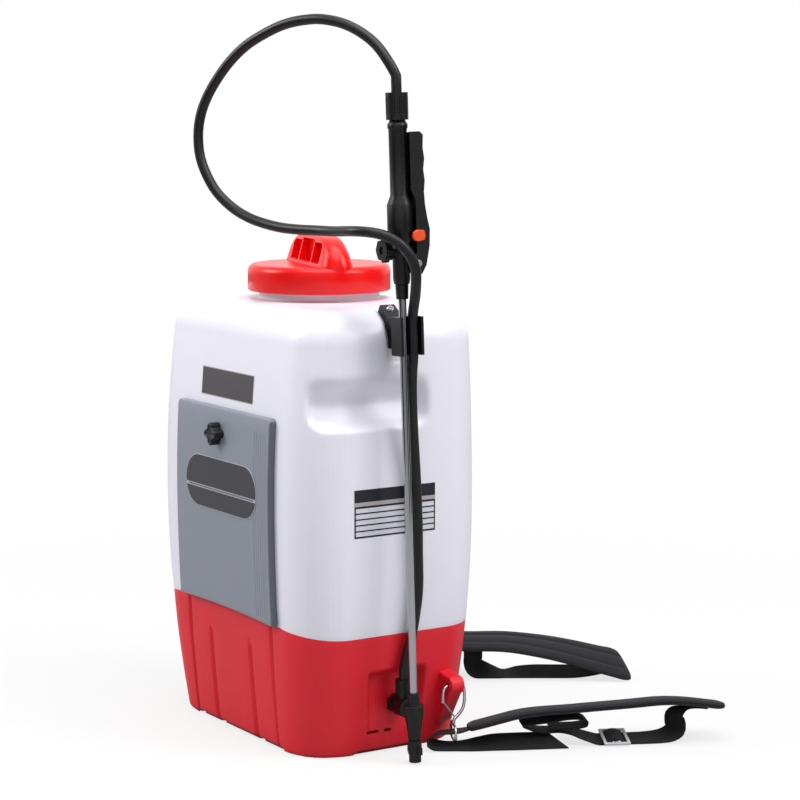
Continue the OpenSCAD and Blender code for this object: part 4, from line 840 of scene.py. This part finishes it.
# ---- Spray hose
# One length of black rubber-covered hose: out of the handle, round a loop above the cap, through the clip and
# down to the outlet's nut. Its upper end follows the lance.
HOSE_R, HOSE_IN_CLIP = 0.0049, 0.0104
hose_marks = [lance_at(up, 0) for up in (0.631, 0.638, 0.646)]
hose_marks += [Vector(p) / 1000 for p in (
    (172, -24, 663), (160, -29, 677), (145, -36, 688), (127, -44, 696), (107, -53, 700), (90, -60, 700),
    (70, -69, 697), (50, -78, 690), (25, -89, 677), (5, -97, 661), (-11, -104, 642), (-22, -109, 624),
    (-28, -112, 607), (-30, -113, 589), (-28, -112, 570), (-20, -109, 552), (-9, -104, 536), (9, -97, 522),
    (29, -90, 513), (48, -83, 508), (68, -76, 505), (88, -69, 504), (106, -62.7, 504), (115.5, -60.1, 504),
    (125.3, -58.3, 504.1), (135.1, -57.3, 504.4), (145.1, -57.1, 505), (155.2, -57.2, 505.6), (165.2, -56.5, 506.1),
    (174.8, -53.3, 506.1), (183.3, -48, 505.5), (190.4, -41, 503.6), (196, -33.6, 499.9), (200, -26.6, 494.4),
    (202.6, -20.6, 487.3), (203.9, -15.8, 479), (203.7, -12.7, 470), (201.8, -11, 460.7), (197.9, -8.9, 452.3),
    (193, -6.4, 444.6), (188.2, -4.5, 436.7), (184.8, -3.7, 427.9))]
hose_marks += [lance_at(up, HOSE_IN_CLIP) for up in (0.418, 0.406, 0.388)]
hose_marks += [Vector(p) / 1000 for p in (
    (181, -2, 368), (178, 0, 345), (174, 4, 315), (171, 8, 285), (169, 11, 255), (168, 13, 225), (167, 14, 195),
    (166, 15, 165), (164, 13, 138), (161, 10, 114), (159, 6, 96), (158, 4, 82), (158, 4, 74))]


def smooth_line(marks, gap):
    """A smooth line through the marks, with a point about every gap."""
    line = []
    ends = [marks[0]] + marks + [marks[-1]]
    for before, start, end, after in zip(ends, ends[1:], ends[2:], ends[3:]):
        count = max(1, round((end - start).length / gap))
        for t in (j / count for j in range(count)):
            line.append(0.5 * (2 * start + (end - before) * t + (2 * before - 5 * start + 4 * end - after) * t * t
                               + (3 * start - before - 3 * end + after) * t ** 3))
    return line + [marks[-1]]


def heading_at(points, i):
    return (points[min(i + 1, len(points) - 1)] - points[max(i - 1, 0)]).normalized()


def loft(bm, rings, lengths, uv_width, ends=True):
    """Extrudes one closed ring along the rest; the UV map runs along the piece and round it, in metres."""
    count = len(rings[0])
    loop = bmesh.ops.create_circle(bm, cap_ends=False, segments=count, radius=1.0)["verts"]
    edges, first, spot = edges_at(loop), loop, {}
    for ring_at, ring in enumerate(rings):
        if ring_at:
            edges = extruded_ring(bm, edges, lambda co: co)
            place = {v: i for i, v in enumerate(loop)}
            fresh = {v for e in edges for v in e.verts}
            from_old = {place[e.other_vert(v)]: v for v in fresh for e in v.link_edges if e.other_vert(v) in place}
            loop = [from_old[i] for i in range(count)]
        for i, v in enumerate(loop):
            v.co = ring[i]
            spot[v] = (lengths[ring_at], i)
    if ends:
        bm.faces.new(first)
        bm.faces.new(loop[::-1])
    uv = bm.loops.layers.uv.verify()
    for f in bm.faces:
        turns = {spot[v][1] for v in f.verts if v in spot}
        wrap = {0, count - 1} <= turns
        for corner in f.loops:
            if corner.vert in spot:
                along, turn = spot[corner.vert]
                corner[uv].uv = (along, (count if wrap and turn == 0 else turn) / count * uv_width)
    face_out(bm)


def tube_along(bm, line, radius, sides, ends=True):
    rings, lengths, walked, across = [], [], 0.0, Vector((0, 1, 0))
    turns = [tau * k / sides for k in range(sides)]
    for i, point in enumerate(line):
        heading = heading_at(line, i)
        across = (across - heading * across.dot(heading)).normalized()
        other = heading.cross(across)
        walked += (point - line[i - 1]).length if i else 0.0
        lengths.append(walked)
        rings.append([point + radius * (across * cos(t) + other * sin(t)) for t in turns])
    loft(bm, rings, lengths, tau * radius, ends)
    return walked


hose_line = smooth_line(hose_marks, 0.006)
bm = bmesh.new()
hose_length = tube_along(bm, hose_line, HOSE_R, 24)
hose_rubber = moulded("hose_black_rubber", (25, 25, 28), 0.33, mottle=0.06, grain=420.0, relief=0.03, spread=0.08,
                      specular=0.32)
hose = add_piece("spray_hose_run", bm, hose_rubber, None, ("spray_hose",), sharp=60.0)
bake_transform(hose)


# ---- Shoulder straps
# Two quilted pads of dark cloth over foam, each with a black woven web: one end sewn under the pad and through
# a ladder buckle, the other through the eye of a wire hook that hangs in the base's ear.
WEB_W, WEB_T, PAD_W, PAD_T = 0.025, 0.0016, 0.045, 0.009
PAD_SIDES, CHANNELS, STITCH_R, BINDING_R = 64, (-0.2, 0.2), 0.00032, 0.0012
HOOK_R, EYE_R, GATE_R, EYE_HALF, EYE_BEND, EYE_Z = 0.0016, 0.0014, 0.0008, 0.0083, 0.0076, -0.0465
NEAR_TURN, FAR_TURN = (Matrix.Rotation(radians(turn), 4, "Z") for turn in (64.5, 57.2))
NEAR, FAR = Matrix.Translation((EAR_X, EAR_Y, 0)) @ NEAR_TURN, Matrix.Translation((-EAR_X, EAR_Y, 0)) @ FAR_TURN


def over_bar(u, v, z, roll, way):
    lean = radians(roll)
    rise = ((16, 0), (10.2, 0), (9, 0.3), (3.4, 4.5), (-3.4, 4.5), (-9, 0.3), (-10.2, 0), (-16, 0))
    return [(u - way * a, v - b * sin(lean), z + b * cos(lean), way * roll) for a, b in rise]


# marks in millimetres from the ear: along the strap's lay, aside, height, and roll in degrees
near_web = [
    (250, 0, 30.7, 12), (238, 0, 31.9, 12), (229, 0, 31.6, 6), (222, -1, 29, -12), (219, -2, 24.4, -32),
    (219.5, -3, 19, -42), (220, -4, 13, -38), (215, -4, 8, -26), (205, -3.5, 4.8, -16), (190, -3, 3.6, -12)]
near_web += over_bar(159, -3, 3.5, 11, -1)
near_web += [
    (138, -2, 4.6, -11), (126, 0, 8.4, -8), (115, 2, 12, -4), (104, 3, 13.4, 0), (95, 3, 13.4, 0), (87, 2, 14, 0),
    (79, 1, 15.6, 0), (72, 0, 18.4, 0), (67.4, 0, 20.4, 0), (66.6, 0, 22, 0), (71, 0, 22.8, 0), (84, 0, 23.6, 0),
    (100, 0, 25.6, 0), (114, 0, 27, 0), (125, 0, 26.4, 0), (131, 0, 23.4, 0), (130, 0, 19.6, 0), (122, 0, 17.8, 0),
    (108, 0, 17.6, 0), (94, 0, 18, 0)]
near_tail = [
    (19, 0, 19.4, 11), (13.4, 0, 17.6, 10), (8, 0, 16.4, 7), (0, 0, 15.5, 5), (-12, -1, 14.6, 9), (-20, -3, 12.6, 16),
    (-24.5, -4, 8.6, 18), (-21, -5, 4.8, 14), (-12, -6, 3.2, 8), (0, -7, 2.8, 6), (12, -8, 3.4, 10), (24, -9, 4.8, 17),
    (38, -10, 6.2, 24), (55, -11, 6.6, 26), (72, -11, 6.6, 26), (87, -11, 6.6, 26), (101, -11, 6.6, 26)]
far_web = [
    (362, 4, 10.8, -27), (352, 4, 12.6, -26), (342, 4, 11.4, -25), (328, 4, 8.2, -22), (312, 4, 6.2, -21),
    (290, 4, 6, -21), (270, 4, 6, -21), (252, 4, 5.2, -17), (237, 4, 3.4, -8), (226, 3, 5.4, -18), (214, 2, 8.3, -36),
    (206, 1, 10.8, -50), (203, 0, 17, -55), (203, 0, 25, -55), (203, 0, 31.5, -55)]
far_tail = [
    (110, 0, 36.8, -9), (103.4, 0, 35.4, -8), (95, 0, 33.8, -6), (80, 0, 30.6, 0), (50, 0, 24, 0), (20, 0, 18, 0),
    (0, 0, 15.4, 0), (-12, 0, 14.2, 0), (-19, 0, 12.4, 0), (-22, 0, 8.4, 0), (-19, 0, 4.4, 0), (-12, 0, 2.6, 0),
    (0, 0, 2.2, 0), (20, 0, 1.6, 0)]
far_tail += over_bar(60, 0, 1.4, 0, 1) + [(95, 0, 1.4, 0), (118, 0, 1.6, 0)]
near_pad = [
    (14, 0, 18.2, -12), (20, 0, 20.4, -12), (30, 0, 22.6, -12), (45, 0, 26, -12), (65, 0, 30.2, -12), (90, 0, 33, -12),
    (120, 0, 35, -12), (150, 0, 36.4, -12), (180, 0, 38, -12), (203, 0, 38.8, -12), (225, 0, 38, -12),
    (245, 0, 36, -12), (259, 0, 34, -12), (267, 0, 33, -12)]
far_pad = [
    (104, 0, 36, 8), (110, 0, 37, 9), (125, 0, 38.4, 10), (145, 0, 39.6, 11), (170, 0, 40.4, 12), (200, 0, 40.8, 12),
    (230, 0, 40.4, 13), (255, 0, 38, 15), (280, 0, 34, 18), (305, 0, 28.6, 21), (328, 0, 23.4, 24), (347, 0, 18.8, 26),
    (360, 0, 15.4, 27), (369, 0, 13, 27)]


def route(marks, gap):
    """Fine points, headings, width directions and face normals of a strap, with the walked length."""
    spine = smooth_line([Vector(mark) for mark in marks], gap * 1000)
    points = [Vector(p[:3]) / 1000 for p in spine]
    walked, result = 0.0, []
    for i, point in enumerate(points):
        heading = heading_at(points, i)
        level = (Vector((0, 1, 0)) - heading * heading.y).normalized()
        roll = radians(spine[i][3])
        across = level * cos(roll) + heading.cross(level) * sin(roll)
        walked += (point - points[i - 1]).length if i else 0.0
        result.append((point, heading, across, heading.cross(across), walked))
    return result


# plain weave over the UV map: weft and warp threads that pass over each other by turns, with some fuzz; the colour
# carries painted shade where a thread sinks between and under the others, and slub tone from the fuzz
woven, given, result = skin_group("woven_cloth", ("Colour", "Thread", "Slub"), ("Colour", "Height"))
spot = add_node(woven, "TexCoord")
parts = add_node(woven, "SeparateXYZ", Vector=spot["UV"])
fuzz = add_node(woven, "TexNoise", Vector=spot["Object"], Scale=260.0)["Fac"]
threads, counts = [], []
for way in ("X", "Y"):
    walked = add_math(woven, "DIVIDE", parts[way], given["Thread"])
    wave = add_math(woven, "SINE", add_math(woven, "MULTIPLY", walked, pi))
    threads.append(add_math(woven, "ABSOLUTE", wave))
    counts.append(add_math(woven, "FLOOR", walked))
weft, warp = threads
over = add_math(woven, "MODULO", add_math(woven, "ADD", *counts), 2.0)
over = add_math(woven, "ABSOLUTE", over)
under = add_math(woven, "MULTIPLY", weft, add_math(woven, "SUBTRACT", 1.0, over))
height = add_math(woven, "ADD", add_math(woven, "MULTIPLY", warp, over), under)
slub = add_math(woven, "MULTIPLY", fuzz, given["Slub"])
# painted shade in the weave's dips, from the thread height, plus slub tone from the fuzz
weave_shade_and_slub = add_math(woven, "ADD", add_math(woven, "MULTIPLY", height, 0.5), slub)
weave_shade_and_slub = add_math(woven, "ADD", weave_shade_and_slub, 0.45)
fill(woven, result, Colour=mixed(woven, "MULTIPLY", 1.0, given["Colour"], weave_shade_and_slub), Height=height)


def cloth(name, colour, thread, slub, relief, roughness, sheen):
    material, tree, shader = new_material(name)
    weave = add_node(tree, "Group", {"node_tree": woven}, Colour=linear(*colour), Thread=thread, Slub=slub)
    bump = add_node(tree, "Bump", Height=weave["Height"], Strength=relief, Distance=thread * 0.4)[0]
    fill(tree, shader, Base_Color=weave["Colour"], Roughness=roughness, Sheen_Weight=sheen, Specular_IOR_Level=0.25,
         Normal=bump)
    return material


web_black = cloth("webbing_black", (26, 26, 29), 0.0011, 0.3, 0.7, 0.75, 0.06)
pad_cloth = cloth("pad_dark_cloth", (31, 31, 37), 0.0008, 0.5, 0.5, 0.85, 0.10)
thread_grey = moulded("stitch_thread", (52, 52, 57), 0.7)
SELVEDGE = ((0.5, 0.0), (0.494, 0.34), (0.47, 0.5), (0.40, 0.46), (0.2, 0.42), (0.0, 0.42), (-0.2, 0.42),
            (-0.40, 0.46), (-0.47, 0.5), (-0.494, 0.34))
SELVEDGE += tuple((-a, -b) for a, b in SELVEDGE)


def webbing(name, marks, placed, cut, replaced, body):
    bm = bmesh.new()
    line = route(marks, 0.003)
    lengths = [step[4] for step in line]
    rings = []
    for point, heading, across, normal, walked in line:
        slant = heading * cut * ramp(walked, lengths[-1] - 0.012, lengths[-1])
        rings.append([placed @ (point + (across * WEB_W - 2 * slant) * a + normal * WEB_T * b) for a, b in SELVEDGE])
    loft(bm, rings, lengths, 2 * WEB_W)
    return add_piece(name, bm, web_black, body, replaced, sharp=70.0)


webbing("strap_webbing_near", near_web, NEAR, 0.0, ("strap_web_near",), "body")
webbing("strap_webbing_far", far_web, FAR, 0.0, ("strap_web_far",), "body")
for end, marks, placed, cut in (("near", near_tail, NEAR, 0.009), ("far", far_tail, FAR, 0.004)):
    tail = webbing("strap_end_" + end, marks, placed, cut, ("strap_tail_" + end,), None)
    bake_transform(tail)


def pad_section(turn):
    """Across and up on the pad's blunt oval section, each from -0.5 to 0.5."""
    angle = tau * turn
    a = 0.5 * copysign(abs(cos(angle)) ** 0.55, cos(angle))
    b = 0.5 * copysign(abs(sin(angle)) ** 0.8, sin(angle))
    return a, b


def round_end(gap, start, length):
    return start + (1 - start) * sqrt(max(0.0, 1 - (1 - ramp(gap, 0.0, length)) ** 2))


def near_channels(a, spread):
    return sum(exp(-((a - c) / spread) ** 2) for c in CHANNELS)


def top_crown(a):
    return 1.06 - 0.18 * abs(a)


def quilted_pad(name, marks, placed, cut, replaced):
    bm = bmesh.new()
    line = route(marks, 0.004)
    lengths = [step[4] for step in line]
    total = lengths[-1]
    section = [pad_section(k / PAD_SIDES) for k in range(PAD_SIDES)]
    rings, stitches, left_edge, right_edge = [], [], [], []
    for i, (point, heading, across, normal, walked) in enumerate(line):
        end_gap = min(walked, total - walked)
        width, thick = PAD_W * round_end(end_gap, 0.80, 0.012), PAD_T * round_end(end_gap, 0.60, 0.009)
        slant = heading * cut * ramp(walked, total - 0.040, total - 0.012)
        wave = 0.0005 * sin(walked * 38 + 40 * cut) + 0.0002 * sin(walked * 91 + 2)
        moved = normal * ease(end_gap, 0.004, 0.030) * wave
        point, span = point + moved, across * width - slant
        left_edge.append(placed @ (point + span * 0.492))
        right_edge.append(placed @ (point - span * 0.492))
        ring = []
        for a, b in section:
            sewn = near_channels(a, 0.035) * ramp(end_gap, 0.002, 0.008)
            pucker = 0.06 * sin(walked * 900 + a * 5) * near_channels(a, 0.09)
            if b > 0:
                b *= top_crown(a) * (1 - 0.50 * sewn) + pucker * 0.5
            else:
                b *= 0.92 * (1 - 0.50 * sewn * 0.35) + pucker * 0.1
            ring.append(placed @ (point + span * a + normal * thick * b))
        rings.append(ring)
        if i and end_gap > 0.007:
            last_point, last_across, last_normal = line[i - 1][0], line[i - 1][2], line[i - 1][3]
            for c in CHANNELS:
                lift = thick * 0.5 * top_crown(c) * 0.52 * 0.93 + 0.0001
                here = placed @ (point + span * c + normal * lift)
                there = placed @ (last_point + moved + (last_across * width - slant) * c + last_normal * lift)
                stitches.append((there, here))
    loft(bm, rings, lengths, 2 * PAD_W)
    pad = add_piece(name, bm, pad_cloth, "body", replaced, sharp=80.0)
    soft = pad.modifiers.new("soft", "SUBSURF")
    soft.levels = soft.render_levels = 1
    bm = bmesh.new()
    for there, here in stitches:
        span = here - there
        turned = Matrix.Translation((here + there) / 2) @ span.to_track_quat("Z", "Y").to_matrix().to_4x4()
        bmesh.ops.create_cone(bm, cap_ends=True, segments=6, radius1=STITCH_R, radius2=STITCH_R,
                              depth=span.length * 0.72, matrix=turned)
    add_piece(name + "_stitching", bm, thread_grey, "body", sharp=50.0)
    bm = bmesh.new()
    bound = left_edge[2:-2:3] + [left_edge[-2].lerp(right_edge[-2], t) for t in (0.08, 0.5, 0.92)]
    bound += right_edge[-3:1:-3] + [right_edge[1].lerp(left_edge[1], t) for t in (0.08, 0.5, 0.92)]
    tube_along(bm, smooth_line(bound + bound[:2], 0.003), BINDING_R, 10)
    add_piece(name + "_binding", bm, web_black, "body", sharp=60.0)


quilted_pad("shoulder_pad_near", near_pad, NEAR, 0.0, ("strap_pad_near",))
quilted_pad("shoulder_pad_far", far_pad, FAR, 0.018, ("strap_pad_far",))
buckle_grey = moulded("buckle_pale_plastic", (208, 210, 214), 0.35)
for node in ("strap_buckle_near", "strap_buckle_far"):
    eased_copy(node, buckle_grey, 0.0005)

wire = metal("hook_wire_steel", (204, 206, 210), 0.22)
hook_marks = [Vector(p) / 1000 for p in (
    (0, -12.5, -16), (0, -12.5, -8), (0, -11, -3), (0, -7, -0.4), (0, 0, 0), (0, 7, -0.4), (0, 11, -3), (0, 12.5, -8),
    (0, 12.5, -18), (0, 10.5, -25), (0, 5, -31), (0, 1, -34), (0, 0, -38.6))]
eye = arc(EYE_HALF, 0, EYE_BEND, -90, 90) + arc(-EYE_HALF, 0, EYE_BEND, 90, 270)
gate_top = Vector((0, -0.0125, -0.015))
gate = [gate_top, gate_top + Matrix.Rotation(radians(39), 3, "X") @ Vector((0, 0, -0.024))]
for end, side, turn in (("near", 1, NEAR_TURN), ("far", -1, FAR_TURN)):
    bm = bmesh.new()
    tube_along(bm, smooth_line(hook_marks, 0.0012), HOOK_R, 14)
    eye_line = [Matrix.Translation((0, 0, EYE_Z)) @ turn @ Vector((0, y, z)) for y, z in eye + eye[:1]]
    tube_along(bm, eye_line, EYE_R, 12, ends=False)
    tube_along(bm, smooth_line(gate, 0.004), GATE_R, 10)
    bmesh.ops.translate(bm, vec=(side * EAR_X, EAR_Y, EAR_Z), verts=bm.verts[:])
    add_piece("wire_hook_" + end, bm, wire, "hook_" + end, ("strap_hook_" + end,), sharp=60.0)
